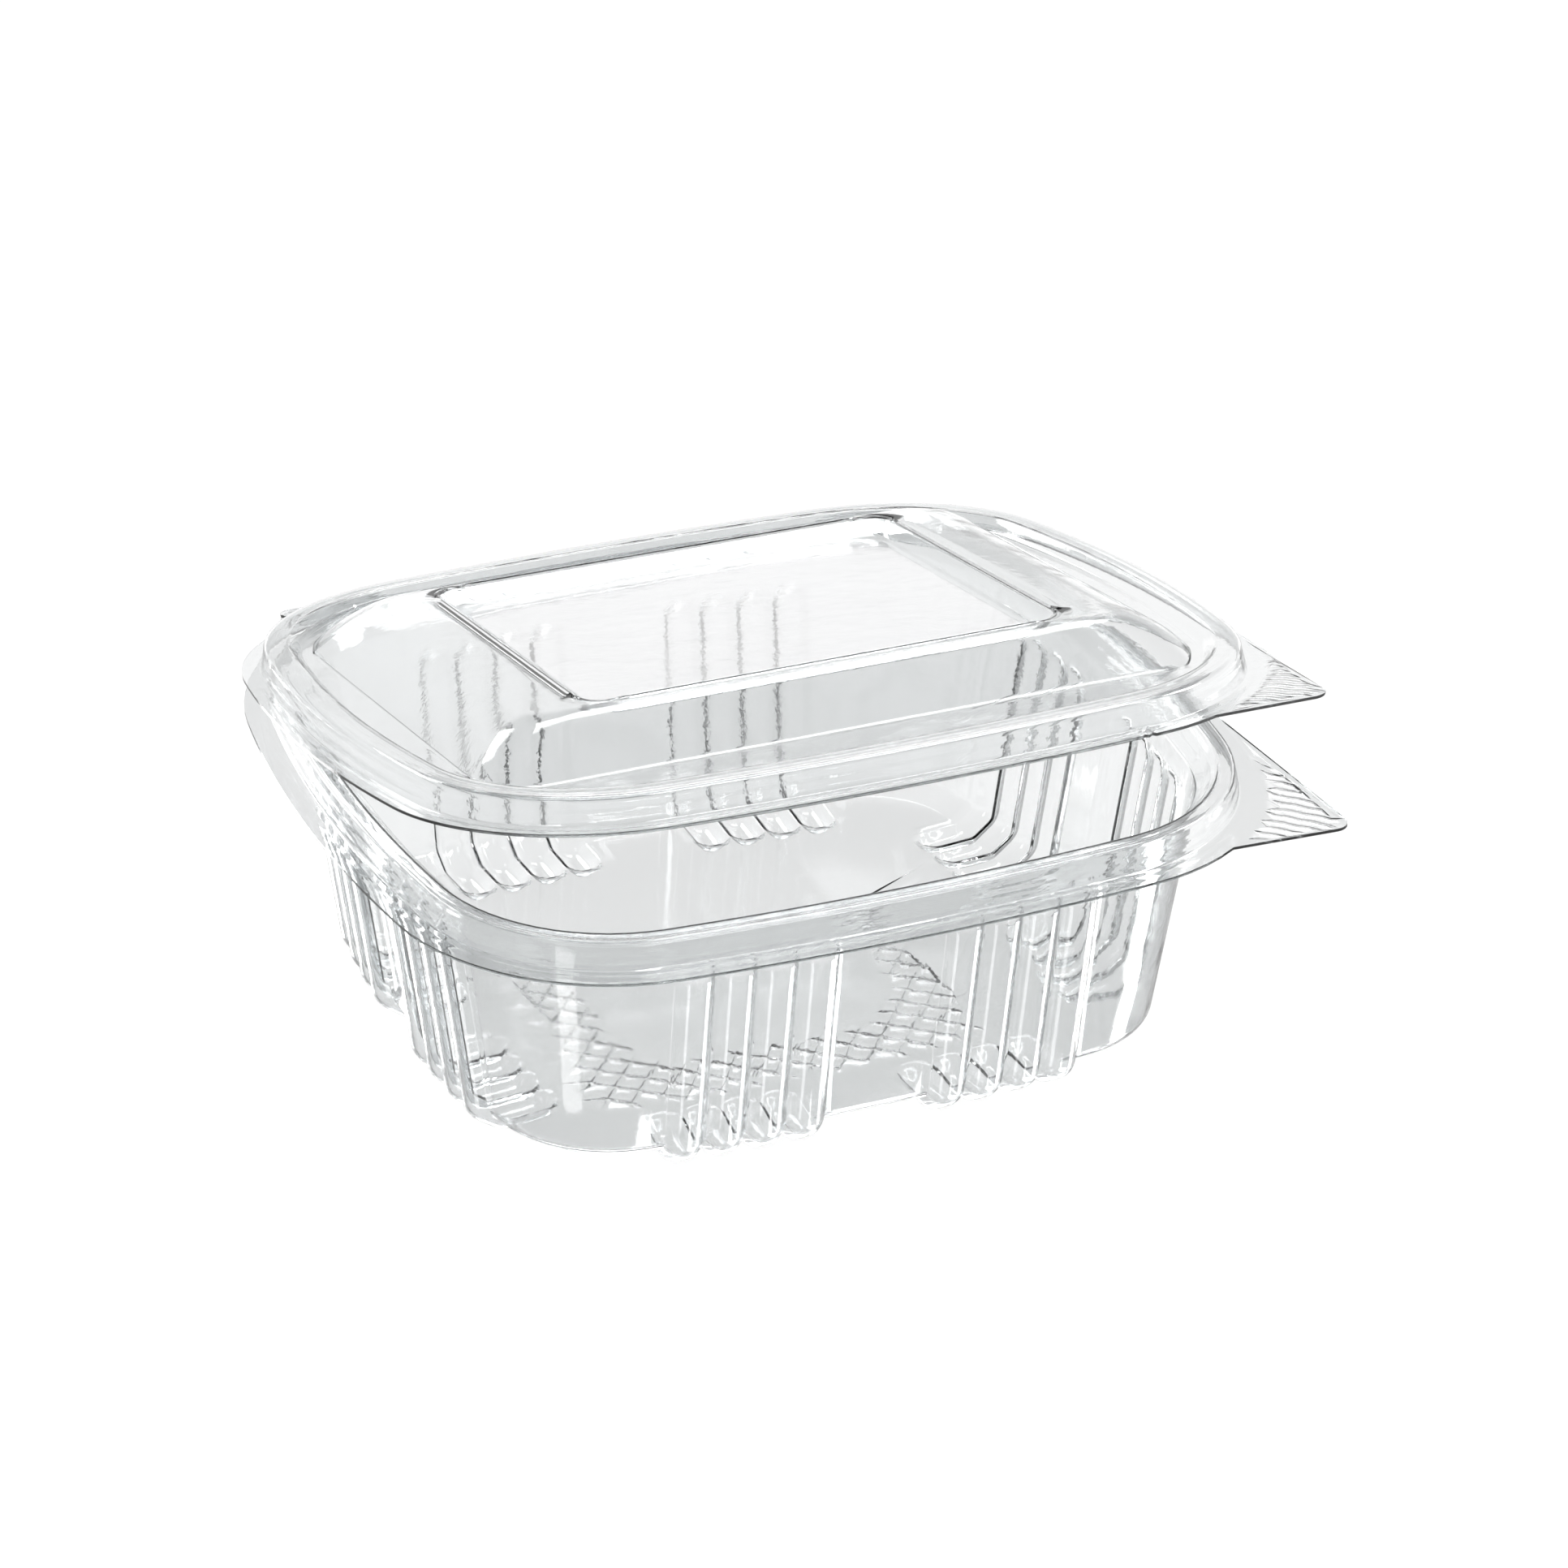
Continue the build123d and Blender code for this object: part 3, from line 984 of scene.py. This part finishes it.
@dataclass
class Tray:
    """The tray: rim with a snap bead, ribbed wall, feet and a hatched floor, in mm.

    Args:
        plan: the rim's outline.
        sheet: thickness of the sheet.
        flange_level: level of the flange's underside.
        flange_width: width of the flat flange.
        bead_height: height of the snap bead over the flange.
        bead_lean: how far the bead's outer wall leans in.
        bead_top: width of the bead's top.
        slope_run: width of the slope from the bead down to the wall.
        slope_drop: drop of that slope.
        wall_draft: draft of the wall, in degrees.
        bevel_drop: drop of the bevel between the wall and the floor.
        bevel_run: width of that bevel.
        rib_top_level: level at which the ribs start under the rim.
        rib_top_inset: inset past which that level is looked for.
        field_inset: inset at which the ribbed border ends and the floor's middle starts.
        toe_gap: distance between the toes of the ribs and the floor's middle.
        floor_inset: inset past which the sheet is all floor.
        corner_steps: lines across each corner of the rim.
        spacing: greatest distance between lines on a side.
        hatch_margin: smooth band round the floor's hatch.
        ribs: the ribs.
        grip: the teeth beside the tab.
        tab: the corner tab, with its knurl downwards, clear of the shut lid.
        strip: the strip towards the fold.
        hatch: the hatch on the floor.
    """

    plan: RimPlan = field(default_factory=RimPlan)
    sheet: float = 0.45
    flange_level: float = 41.0
    flange_width: float = 4.0
    bead_height: float = 4.2
    bead_lean: float = 0.9
    bead_top: float = 1.9
    slope_run: float = 3.0
    slope_drop: float = 3.4
    wall_draft: float = 8.0
    bevel_drop: float = 2.6
    bevel_run: float = 3.6
    rib_top_level: float = 37.4
    rib_top_inset: float = 9.0
    field_inset: float = 29.6
    toe_gap: float = 2.0
    floor_inset: float = 20.0
    corner_steps: int = 14
    spacing: float = 3.0
    hatch_margin: float = 0.6
    ribs: Ribs = field(default_factory=Ribs)
    grip: Grip = Grip(start=35.5, lift=-0.26)
    tab: Tab = Tab(
        back=(69.4, -19.0), tip=(71.6, -58.2), front=(54.0, -57.6), knurl_height=-0.3, cross_height=-0.12
    )
    strip: FoldStrip = field(default_factory=FoldStrip)
    hatch: Hatch = field(default_factory=Hatch)

    def path(self) -> SheetPath:
        """The sheet across the rim, from the flange's edge to the floor."""
        floor = self.ribs.bulge
        bead = self.flange_level + self.bead_height
        bead_start = self.flange_width + self.bead_lean
        bead_end = bead_start + self.bead_top
        wall_start = bead_end + self.slope_run
        wall_level = bead - self.slope_drop
        step = floor + self.bevel_drop
        wall_end = wall_start + (wall_level - step) * math.tan(math.radians(self.wall_draft))
        bevel_end = wall_end + self.bevel_run
        underside = [
            (0, self.flange_level),
            (self.flange_width, self.flange_level),
            (bead_start, bead),
            (bead_end, bead),
            (wall_start, wall_level),
            (wall_end, step),
            (bevel_end, floor),
            (self.field_inset, floor),
        ]
        wall_shares = (0.07, 0.09, 0.11, 0.13, 0.15, 0.17, 0.195, 0.23, 0.35, 0.55, 0.78)
        toe_shares = (0.15, 0.35, 0.5, 0.58, 0.65, 0.72, 0.79, 0.85, 0.9, 0.95)
        fine = tuple(step / 8 for step in range(1, 8))
        shares = [(0.15, 0.3, *fine[3:]), fine, (0.25, 0.5, 0.75), fine, wall_shares, (0.5,), toe_shares]
        return SheetPath(underside, (0.55, 0.6, 0.6, 0.9, 1.6, 1.6), shares, self.sheet)

    def build(self) -> bpy.types.Object:
        """Make the tray's closed mesh."""
        rows = self.path().rows()
        wall_rows = [row for row in rows if row.inset > self.rib_top_inset]
        top = min(wall_rows, key=lambda row: abs(row.level - self.rib_top_level))
        floor_top = self.ribs.bulge + self.sheet
        floor_rows = [row for row in rows if row.level < floor_top and row.inset > self.floor_inset]
        toe_start = self.field_inset - self.toe_gap - self.ribs.end_length
        toe = min(floor_rows, key=lambda row: abs(row.inset - toe_start))
        sheet = MidSheet(self.sheet)
        rim = Rim(self.plan, self.grip, self.ribs, self.corner_steps, self.spacing)
        loops = rim.loops(sheet, rows, (top.run + self.ribs.end_length, toe.run))
        level = rows[-1].level
        floor = [sheet.points[index].xy for index in loops[-1]]
        places = [place for place in self.hatch.points() if inside_outline(place, floor, self.hatch_margin)]
        sheet.fill(loops[-1], places, lambda place: level + self.hatch.lift(place))
        edge = FlangeEdge(self.tab, self.strip, self.plan.width)
        edge.dress(sheet, loops[0], rows[0].level)
        return sheet.thicken("tray_sheet")

    def dress(
        self, piece: bpy.types.Object, ripple: bpy.types.NodeTree, cut_edge_painted_shade: bpy.types.Material
    ) -> None:
        """Give the tray its finishes, in the places that FinishPlace names.

        Args:
            piece: the tray.
            ripple: the shared group of forming waves.
            cut_edge_painted_shade: the finish of its cut edge, a dark grey that is painted shade for the dark
                line at the sheet's edge.
        """
        piece.data.materials.append(ClearSheetFinish("tray_clear_sheet").material(ripple))
        piece.data.materials.append(cut_edge_painted_shade)


@dataclass(frozen=True)
class DomeRow:
    """One row round the dome or the panel, a rounded rectangle.

    Args:
        rise: its height over the channel.
        half: its half length and half width.
        corner: its corner radius.
    """

    rise: float
    half: tuple[float, float]
    corner: float

    def reach(self, angle: float) -> float:
        """Distance from the middle to the row in a direction."""
        half_length, half_width = self.half
        along, aside = abs(math.cos(angle)), abs(math.sin(angle))
        if aside * half_length <= (half_width - self.corner) * along:
            return half_length / along
        if along * half_width <= (half_length - self.corner) * aside:
            return half_width / aside
        centre = (half_length - self.corner, half_width - self.corner)
        toward = centre[0] * along + centre[1] * aside
        return toward + math.sqrt(toward**2 - centre[0] ** 2 - centre[1] ** 2 + self.corner**2)


@dataclass
class Lid:
    """The lid, built shut and turned open about the fold, in mm.

    Args:
        plan: the rim's outline.
        sheet: thickness of the sheet.
        flange_level: level of the flange's underside when shut.
        opening: angle by which the lid stands open, in degrees.
        fold_axis: place of the fold's axis, behind the middle and over the ground.
        flange_width: width of the flat flange.
        bead_height: height of the snap bead over the flange.
        bead_lean: how far the bead's outer wall leans in.
        bead_end: inset at which the bead's top ends.
        channel_rise: height of the channel's floor over the flange.
        channel_start: inset at which the channel's floor starts.
        channel_margin: width of that floor before the dome's rows.
        channel_gap: least distance between the dome's rows and that edge.
        dome_base: half length and half width of the dome's foot.
        dome_ridge: half length and half width of its ridge.
        dome_height: height of the ridge over the channel.
        dome_skirt: width of the flat round the dome's foot.
        skirt_kept: part of that flat that the dome's rows cover.
        skirt_rise: height under which a row belongs to that flat.
        foot_radius: bend at the dome's foot.
        shoulder_radius: bend at its shoulder.
        shoulder_steps: steps round each of the two bends.
        foot_corner: corner radius of the foot.
        ridge_corner: corner radius of the ridge.
        shoulder_share: share of the height above which the ends close in on the ridge.
        panel: half length and half width of the sunk panel's edge.
        panel_gap: flat left between the panel's edge and its first row.
        end_gap: flat left between the panel's edge and the dome's last row, at the ends.
        panel_depth: depth of the panel.
        panel_corner: corner radius of the panel.
        panel_draft: how far the panel's walls lean in.
        corner_steps: lines across each corner of the rim.
        spacing: greatest distance between lines on a side.
        grip: the teeth beside the tab.
        tab: the corner tab.
        strip: the strip towards the fold.
    """

    plan: RimPlan = field(default_factory=RimPlan)
    sheet: float = 0.45
    flange_level: float = 41.75
    opening: float = 10.0
    fold_axis: tuple[float, float] = (66.0, 41.6)
    flange_width: float = 3.2
    bead_height: float = 4.2
    bead_lean: float = 0.9
    bead_end: float = 7.2
    channel_rise: float = 2.2
    channel_start: float = 8.96
    channel_margin: float = 1.5
    channel_gap: float = 0.7
    dome_base: tuple[float, float] = (56.0, 43.5)
    dome_ridge: tuple[float, float] = (42.0, 34.5)
    dome_height: float = 7.2
    dome_skirt: float = 4.0
    skirt_kept: float = 1.5
    skirt_rise: float = 0.02
    foot_radius: float = 2.4
    shoulder_radius: float = 6.0
    shoulder_steps: int = 9
    foot_corner: float = 9.0
    ridge_corner: float = 4.5
    shoulder_share: float = 0.9
    panel: tuple[float, float] = (37.5, 32.5)
    panel_gap: float = 0.2
    end_gap: float = 0.3
    panel_depth: float = 2.6
    panel_corner: float = 3.5
    panel_draft: float = 1.9
    corner_steps: int = 40
    spacing: float = 3.6
    grip: Grip = Grip(start=33.0, lift=0.26)
    tab: Tab = Tab(back=(69.3, -24.0), tip=(66.4, -59.6), front=(49.0, -61.6), tip_radius=3.2)
    strip: FoldStrip = field(default_factory=FoldStrip)

    def path(self) -> SheetPath:
        """The sheet across the rim, from the flange's edge to the channel."""
        bead = self.flange_level + self.bead_height
        channel = self.flange_level + self.channel_rise
        underside = [
            (0, self.flange_level),
            (self.flange_width, self.flange_level),
            (self.flange_width + self.bead_lean, bead),
            (self.bead_end, bead),
            (self.channel_start, channel),
            (self.channel_start + self.channel_margin, channel),
        ]
        fine = tuple(step / 8 for step in range(1, 8))
        shares = [(0.15, 0.3, *fine[3:]), fine, (0.2, 0.4, 0.6, 0.8), (0.25, 0.5, 0.75), (0.5,)]
        return SheetPath(underside, (0.5, 0.75, 0.75, 0.6), shares, self.sheet)

    def dome_end(self, rise: float, half_side: float) -> float:
        """Half length of the dome at a height over the channel.

        Args:
            rise: the height.
            half_side: half width of the dome at that height.
        """
        if rise < self.skirt_rise:
            return self.dome_base[0] + max(half_side - self.dome_base[1], 0)
        run = self.dome_base[0] - self.dome_ridge[0]
        radius = (run**2 + self.dome_height**2) / (2 * self.dome_height)
        drop = radius - self.dome_height + rise
        half = self.dome_ridge[0] + math.sqrt(max(radius**2 - drop**2, 0))
        ahead = max(rise / self.dome_height - self.shoulder_share, 0) / (1 - self.shoulder_share)
        return half - (self.dome_ridge[0] - self.panel[0] - self.end_gap) * ahead**3

    def dome_rows(self) -> list[DomeRow]:
        """Rows of the dome from its foot to its ridge."""
        shoulder = self.dome_skirt + self.dome_base[1] - self.dome_ridge[1]
        ridge_end = self.dome_skirt + self.dome_base[1] - self.panel[1] - self.panel_gap
        top = self.dome_height
        underside = [(0, 0), (self.dome_skirt, 0), (shoulder, top), (ridge_end, top)]
        radii = (self.foot_radius, self.shoulder_radius)
        side = SheetPath(underside, radii, [(), (0.2, 0.4, 0.6, 0.8), ()], 0.0, self.shoulder_steps)
        rows = []
        for row in side.rows():
            half_side = self.dome_base[1] + self.dome_skirt - row.inset
            if half_side > self.dome_base[1] + self.skirt_kept:
                continue
            share = row.level / self.dome_height
            corner = self.foot_corner + (self.ridge_corner - self.foot_corner) * share
            rows.append(DomeRow(row.level, (self.dome_end(row.level, half_side), half_side), corner))
        return rows

    def panel_rows(self) -> list[DomeRow]:
        """Rows of the panel from the ridge down to its floor: a rounded brink, a wall and a fillet."""
        draft, depth = self.panel_draft, self.panel_depth
        rows = []
        for drop, inset, corner in (
            (0.0, 0.0, 0.0),
            (0.06, 0.3, 0.1),
            (0.25, 0.56, 0.2),
            (0.6, 0.8, 0.3),
            (depth - 1.0, draft * 0.7, 0.8),
            (depth - 0.45, draft, 1.2),
            (depth - 0.15, draft + 0.45, 1.6),
            (depth - 0.03, draft + 0.9, 2.0),
            (depth, draft + 1.6, 2.6),
        ):
            half = (self.panel[0] + self.panel_gap - inset, self.panel[1] + self.panel_gap - inset)
            rows.append(DomeRow(self.dome_height - drop, half, self.panel_corner + corner))
        return rows

    def build(self) -> bpy.types.Object:
        """Make the lid's closed mesh, standing open."""
        sheet = MidSheet(self.sheet)
        rows = self.path().rows()
        loops = Rim(self.plan, self.grip, None, self.corner_steps, self.spacing).loops(sheet, rows, (0, 0))
        channel = rows[-1].level
        last = loops[-1]
        rays = [math.atan2(sheet.points[index].y, sheet.points[index].x) for index in last]
        limits = [sheet.points[index].xy.length - self.channel_gap for index in last]
        outer = last
        for row in self.dome_rows() + self.panel_rows():
            points = []
            for ray, limit in zip(rays, limits):
                reach = min(row.reach(ray), limit)
                points.append(Vector((math.cos(ray) * reach, math.sin(ray) * reach, channel + row.rise)))
            loop = sheet.add(points)
            sheet.bridge(outer, loop)
            outer = loop
        level = sheet.points[outer[0]].z
        before = len(sheet.faces)
        sheet.fill(outer, [], lambda place: level)
        # The panel's faces, which get the paler finish as painted light.
        sheet.painted_light_faces = list(range(before, len(sheet.faces)))
        edge = FlangeEdge(self.tab, self.strip, self.plan.width)
        edge.dress(sheet, loops[0], rows[0].level)
        pivot = Matrix.Translation((0, self.fold_axis[0], self.fold_axis[1]))
        turned = Matrix.Rotation(-math.radians(self.opening), 4, "X")
        return sheet.thicken("lid_sheet", pivot @ turned @ pivot.inverted())

    def dress(
        self, piece: bpy.types.Object, ripple: bpy.types.NodeTree, cut_edge_painted_shade: bpy.types.Material
    ) -> None:
        """Give the lid its finishes, in the places that FinishPlace names.

        Args:
            piece: the lid.
            ripple: the shared group of forming waves.
            cut_edge_painted_shade: the finish of its cut edge, a dark grey that is painted shade for the dark
                line at the sheet's edge.
        """
        piece.data.materials.append(ClearSheetFinish("lid_clear_sheet").material(ripple))
        piece.data.materials.append(cut_edge_painted_shade)
        # A paler copy of the clear finish on the panel: painted light for the bright backdrop that the flat
        # panel mirrors.
        panel = ClearSheetFinish(
            "lid_panel_painted_light", clear_tint=(0.985, 0.98, 0.985), haze_tint=(0.965, 0.96, 0.965)
        )
        piece.data.materials.append(panel.material(ripple))


@dataclass
class FoldFilm:
    """The thin fold that joins the two strips, as a closed bent film, in mm.

    Args:
        half_length: half its length along the fold.
        start: place behind the middle, and level, at which it leaves the tray.
        end: the same at which it meets the lid.
        bulge: how far it bends out behind.
        thickness: its thickness.
        steps: steps from the tray to the lid.
        columns: steps along the fold.
    """

    half_length: float = 50.0
    start: tuple[float, float] = (65.7, 41.225)
    end: tuple[float, float] = (65.77, 42.02)
    bulge: float = 0.45
    thickness: float = 0.22
    steps: int = 8
    columns: int = 40

    def build(self) -> bpy.types.Object:
        """Make the film's closed mesh."""
        sheet = MidSheet(self.thickness)
        one, two = Vector(self.start), Vector(self.end)
        rows = []
        for step in range(self.steps + 1):
            share = step / self.steps
            place = one.lerp(two, share) + Vector((self.bulge * math.sin(math.pi * share), 0))
            shift = [self.half_length * (2 * column / self.columns - 1) for column in range(self.columns + 1)]
            rows.append(sheet.add([Vector((x, place.x, place.y)) for x in shift]))
        for lower, upper in zip(rows, rows[1:]):
            for index in range(self.columns):
                sheet.faces.append((lower[index], upper[index], upper[index + 1], lower[index + 1]))
        return sheet.thicken("fold_film")

    def dress(
        self, piece: bpy.types.Object, ripple: bpy.types.NodeTree, cut_edge_painted_shade: bpy.types.Material
    ) -> None:
        """Give the film its finishes, in the places that FinishPlace names.

        Args:
            piece: the film.
            ripple: the shared group of forming waves.
            cut_edge_painted_shade: the finish of its cut edge, a dark grey that is painted shade for the dark
                line at the sheet's edge.
        """
        piece.data.materials.append(ClearSheetFinish("fold_clear_film", dull=0.12).material(ripple))
        piece.data.materials.append(cut_edge_painted_shade)

    def joint_range(self) -> tuple[tuple[float, float, float], tuple[float, float, float]]:
        """Two points on the fold, at the film's tray edge and at its lid edge, in metres."""
        middle = self.start[0] * MM
        return (0.0, middle, self.start[1] * MM), (0.0, middle, self.end[1] * MM)


@dataclass(frozen=True)
class PhotoView:
    """The camera, at the photograph's view.

    Args:
        azimuth: direction from which it looks, in degrees from the front, to the left if negative.
        elevation: height of that direction over the ground, in degrees.
        distance: distance from the target, in mm.
        target: point at the middle of the frame, in mm.
        roll: turn about the line of sight, in degrees.
        focal_pixels: focal length in pixels of a frame of frame_pixels.
    """

    azimuth: float = -24.0
    elevation: float = 27.95
    distance: float = 798.0
    target: tuple[float, float, float] = (6.08, -0.12, 32.69)
    roll: float = 1.0
    focal_pixels: float = 6500.0
    frame_pixels: float = 1932.0
    sensor: float = 36.0

    def place(self) -> None:
        """Make the camera the scene's own."""
        turn, tilt = math.radians(self.azimuth), math.radians(self.elevation)
        back = Vector((math.sin(turn) * math.cos(tilt), -math.cos(turn) * math.cos(tilt), math.sin(tilt)))
        right = Vector((math.cos(turn), math.sin(turn), 0))
        up = back.cross(right)
        spin = math.radians(self.roll)
        rolled_right = right * math.cos(spin) + up * math.sin(spin)
        rolled_up = up * math.cos(spin) - right * math.sin(spin)
        lens = bpy.data.cameras.new("photo_camera")
        lens.sensor_width = self.sensor
        lens.lens = self.focal_pixels / self.frame_pixels * self.sensor
        lens.clip_start = 0.01
        holder = bpy.data.objects.new("photo_camera", lens)
        bpy.context.collection.objects.link(holder)
        frame_turn = Matrix((rolled_right, rolled_up, back)).transposed().to_4x4()
        spot = (Vector(self.target) + back * self.distance) * MM
        holder.matrix_world = Matrix.Translation(spot) @ frame_turn
        bpy.context.scene.camera = holder


@dataclass(frozen=True)
class Softbox:
    """One area lamp: where it stands, its width and height in metres and its power in watts."""

    name: str
    place: tuple[float, float, float]
    size: tuple[float, float]
    power: float

    def hang(self, aim: Vector) -> None:
        """Add the lamp, turned to a point."""
        lamp = bpy.data.lights.new(self.name, "AREA")
        lamp.shape = "RECTANGLE"
        lamp.size, lamp.size_y = self.size
        lamp.energy = self.power
        holder = bpy.data.objects.new(self.name, lamp)
        bpy.context.collection.objects.link(holder)
        holder.location = self.place
        holder.rotation_euler = (aim - Vector(self.place)).to_track_quat("-Z", "Y").to_euler()


@dataclass
class Studio:
    """Plain floor, soft lamps and a pale surround with darker sides.

    Args:
        floor_radius: half the side of the floor, in metres.
        floor_drop: how far the floor lies under the soles, in metres.
        floor_glow: light of the floor as it is seen directly or through the sheet.
        floor_mirrored: light of the floor as the sheet mirrors it.
        floor_colour: grey of the floor that adds to its light.
        floor_lit: grey of the floor that lights its surroundings.
        floor_polish: how strongly the mirrored floor mirrors the lamps.
        floor_polish_roughness: roughness of that polish.
        room: grey of the room that the sheet mirrors, from the ground to the top.
        aim: point that the lamps are turned to, in metres.
        softboxes: the lamps.
    """

    floor_radius: float = 3.0
    floor_drop: float = 0.0002
    floor_glow: float = 0.765
    floor_mirrored: float = 0.2
    floor_colour: float = 0.16
    floor_lit: float = 0.8
    floor_polish: float = 0.85
    floor_polish_roughness: float = 0.06
    room: tuple[tuple[float, float], ...] = (
        (0.0, 0.5), (0.5, 0.95), (0.63, 1.08), (0.7, 0.4), (0.78, 0.15), (0.85, 0.05), (1.0, 0.05)
    )
    aim: tuple[float, float, float] = (0.0, 0.0, 0.03)
    softboxes: tuple[Softbox, ...] = (
        Softbox("softbox_back", (0.38, 0.8, 1.32), (0.9, 0.5), 8.6),
        Softbox("softbox_far_left", (-0.45, 1.3, 0.74), (0.5, 0.4), 3.2),
        Softbox("softbox_left", (-1.0, -0.7, 0.9), (0.3, 0.5), 1.3),
        Softbox("softbox_right", (1.1, -0.2, 0.85), (0.36, 0.5), 6.5),
        Softbox("softbox_front", (0.42, -0.6, 1.12), (0.9, 0.3), 7.5),
    )

    def floor_material(self) -> bpy.types.Material:
        """The floor's material: pale where it is seen, darker and polished where the sheet mirrors it."""
        made = bpy.data.materials.new("studio_floor")
        made.use_nodes = True
        nodes, links = made.node_tree.nodes, made.node_tree.links
        nodes.clear()
        path = nodes.new("ShaderNodeLightPath")
        strength = nodes.new("ShaderNodeMapRange")
        strength.inputs["To Min"].default_value = self.floor_glow
        strength.inputs["To Max"].default_value = self.floor_mirrored
        links.new(path.outputs["Glossy Depth"], strength.inputs["Value"])
        glow = nodes.new("ShaderNodeEmission")
        links.new(strength.outputs["Result"], glow.inputs["Strength"])
        matt = nodes.new("ShaderNodeBsdfDiffuse")
        matt.inputs["Color"].default_value = (self.floor_colour,) * 3 + (1,)
        plain = nodes.new("ShaderNodeAddShader")
        links.new(glow.outputs[0], plain.inputs[0])
        links.new(matt.outputs[0], plain.inputs[1])
        polish = nodes.new("ShaderNodeBsdfGlossy")
        polish.inputs["Color"].default_value = (self.floor_polish,) * 3 + (1,)
        polish.inputs["Roughness"].default_value = self.floor_polish_roughness
        polished = nodes.new("ShaderNodeAddShader")
        links.new(plain.outputs[0], polished.inputs[0])
        links.new(polish.outputs[0], polished.inputs[1])
        shown = nodes.new("ShaderNodeMixShader")
        links.new(path.outputs["Glossy Depth"], shown.inputs["Fac"])
        links.new(plain.outputs[0], shown.inputs[1])
        links.new(polished.outputs[0], shown.inputs[2])
        direct = nodes.new("ShaderNodeMath")
        direct.operation = "MAXIMUM"
        links.new(path.outputs["Is Camera Ray"], direct.inputs[0])
        links.new(path.outputs["Is Glossy Ray"], direct.inputs[1])
        seen = nodes.new("ShaderNodeMath")
        seen.operation = "MAXIMUM"
        links.new(direct.outputs[0], seen.inputs[0])
        links.new(path.outputs["Is Transmission Ray"], seen.inputs[1])
        lit = nodes.new("ShaderNodeBsdfDiffuse")
        lit.inputs["Color"].default_value = (self.floor_lit,) * 3 + (1,)
        mix = nodes.new("ShaderNodeMixShader")
        links.new(seen.outputs[0], mix.inputs["Fac"])
        links.new(lit.outputs[0], mix.inputs[1])
        links.new(shown.outputs[0], mix.inputs[2])
        out = nodes.new("ShaderNodeOutputMaterial")
        links.new(mix.outputs[0], out.inputs["Surface"])
        return made

    def floor(self) -> None:
        """The pale floor, which keeps a soft shadow."""
        plane = bpy.data.meshes.new("studio_floor")
        size = self.floor_radius
        corners = [(-size, -size, 0), (size, -size, 0), (size, size, 0), (-size, size, 0)]
        plane.from_pydata(corners, [], [(0, 1, 2, 3)])
        floor = bpy.data.objects.new("studio_floor", plane)
        floor.location.z = -self.floor_drop
        bpy.context.collection.objects.link(floor)
        plane.materials.append(self.floor_material())

    def surround(self) -> None:
        """The world: white to the camera, and a pale room with darker sides to the sheet."""
        world = bpy.data.worlds.new("studio_surround")
        bpy.context.scene.world = world
        world.use_nodes = True
        nodes, links = world.node_tree.nodes, world.node_tree.links
        nodes.clear()
        out = nodes.new("ShaderNodeOutputWorld")
        path = nodes.new("ShaderNodeLightPath")
        white = nodes.new("ShaderNodeBackground")
        room = nodes.new("ShaderNodeBackground")
        where = nodes.new("ShaderNodeTexCoord")
        parts = nodes.new("ShaderNodeSeparateXYZ")
        links.new(where.outputs["Generated"], parts.inputs[0])
        rise = nodes.new("ShaderNodeMapRange")
        rise.inputs["From Min"].default_value = -1.0
        links.new(parts.outputs["Z"], rise.inputs["Value"])
        ramp = nodes.new("ShaderNodeValToRGB")
        links.new(rise.outputs["Result"], ramp.inputs["Fac"])
        while len(ramp.color_ramp.elements) < len(self.room):
            ramp.color_ramp.elements.new(0.5)
        for element, (place, value) in zip(ramp.color_ramp.elements, self.room):
            element.position = place
            element.color = (value, value, value, 1)
        links.new(ramp.outputs["Color"], room.inputs["Color"])
        mix = nodes.new("ShaderNodeMixShader")
        links.new(path.outputs["Glossy Depth"], mix.inputs["Fac"])
        links.new(white.outputs[0], mix.inputs[1])
        links.new(room.outputs[0], mix.inputs[2])
        white.inputs["Color"].default_value = (1, 1, 1, 1)
        links.new(mix.outputs[0], out.inputs["Surface"])

    def build(self) -> None:
        """Set up the floor, the surround, the lamps and the light paths."""
        self.floor()
        self.surround()
        for softbox in self.softboxes:
            softbox.hang(Vector(self.aim))
        scene = bpy.context.scene
        scene.view_settings.view_transform = "Standard"
        scene.cycles.max_bounces = 28
        scene.cycles.transmission_bounces = 28
        scene.cycles.glossy_bounces = 8
        scene.cycles.diffuse_bounces = 3
        scene.cycles.transparent_max_bounces = 40


def main() -> None:
    """Build the pack and its studio, and report each piece."""
    logging.basicConfig(level=logging.INFO, format="%(name)s %(message)s")
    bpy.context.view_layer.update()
    ripple = FormingRipple().group()
    # Dark grey finish for the cut edges: painted shade that stands in for the dark line that light bent along
    # the sheet draws at its edge.
    edge = ClearSheetFinish("cut_edge_painted_shade", clear_tint=(0.2, 0.22, 0.22), haze_tint=(0.2, 0.22, 0.22), dull=0.1)
    cut_edge_painted_shade = edge.material(ripple)
    tray_part = Tray()
    tray = tray_part.build()
    tray_part.dress(tray, ripple, cut_edge_painted_shade)
    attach(tray, Body.TRAY.value)
    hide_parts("tray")
    lid_part = Lid()
    lid = lid_part.build()
    lid_part.dress(lid, ripple, cut_edge_painted_shade)
    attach(lid, Body.LID.value)
    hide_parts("lid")
    film = FoldFilm()
    fold = film.build()
    film.dress(fold, ripple, cut_edge_painted_shade)
    start, end = film.joint_range()
    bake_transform(fold)
    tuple(start)
    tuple(end)
    PhotoView().place()
    Studio().build()
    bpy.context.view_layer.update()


if __name__ == "__main__":
    main()
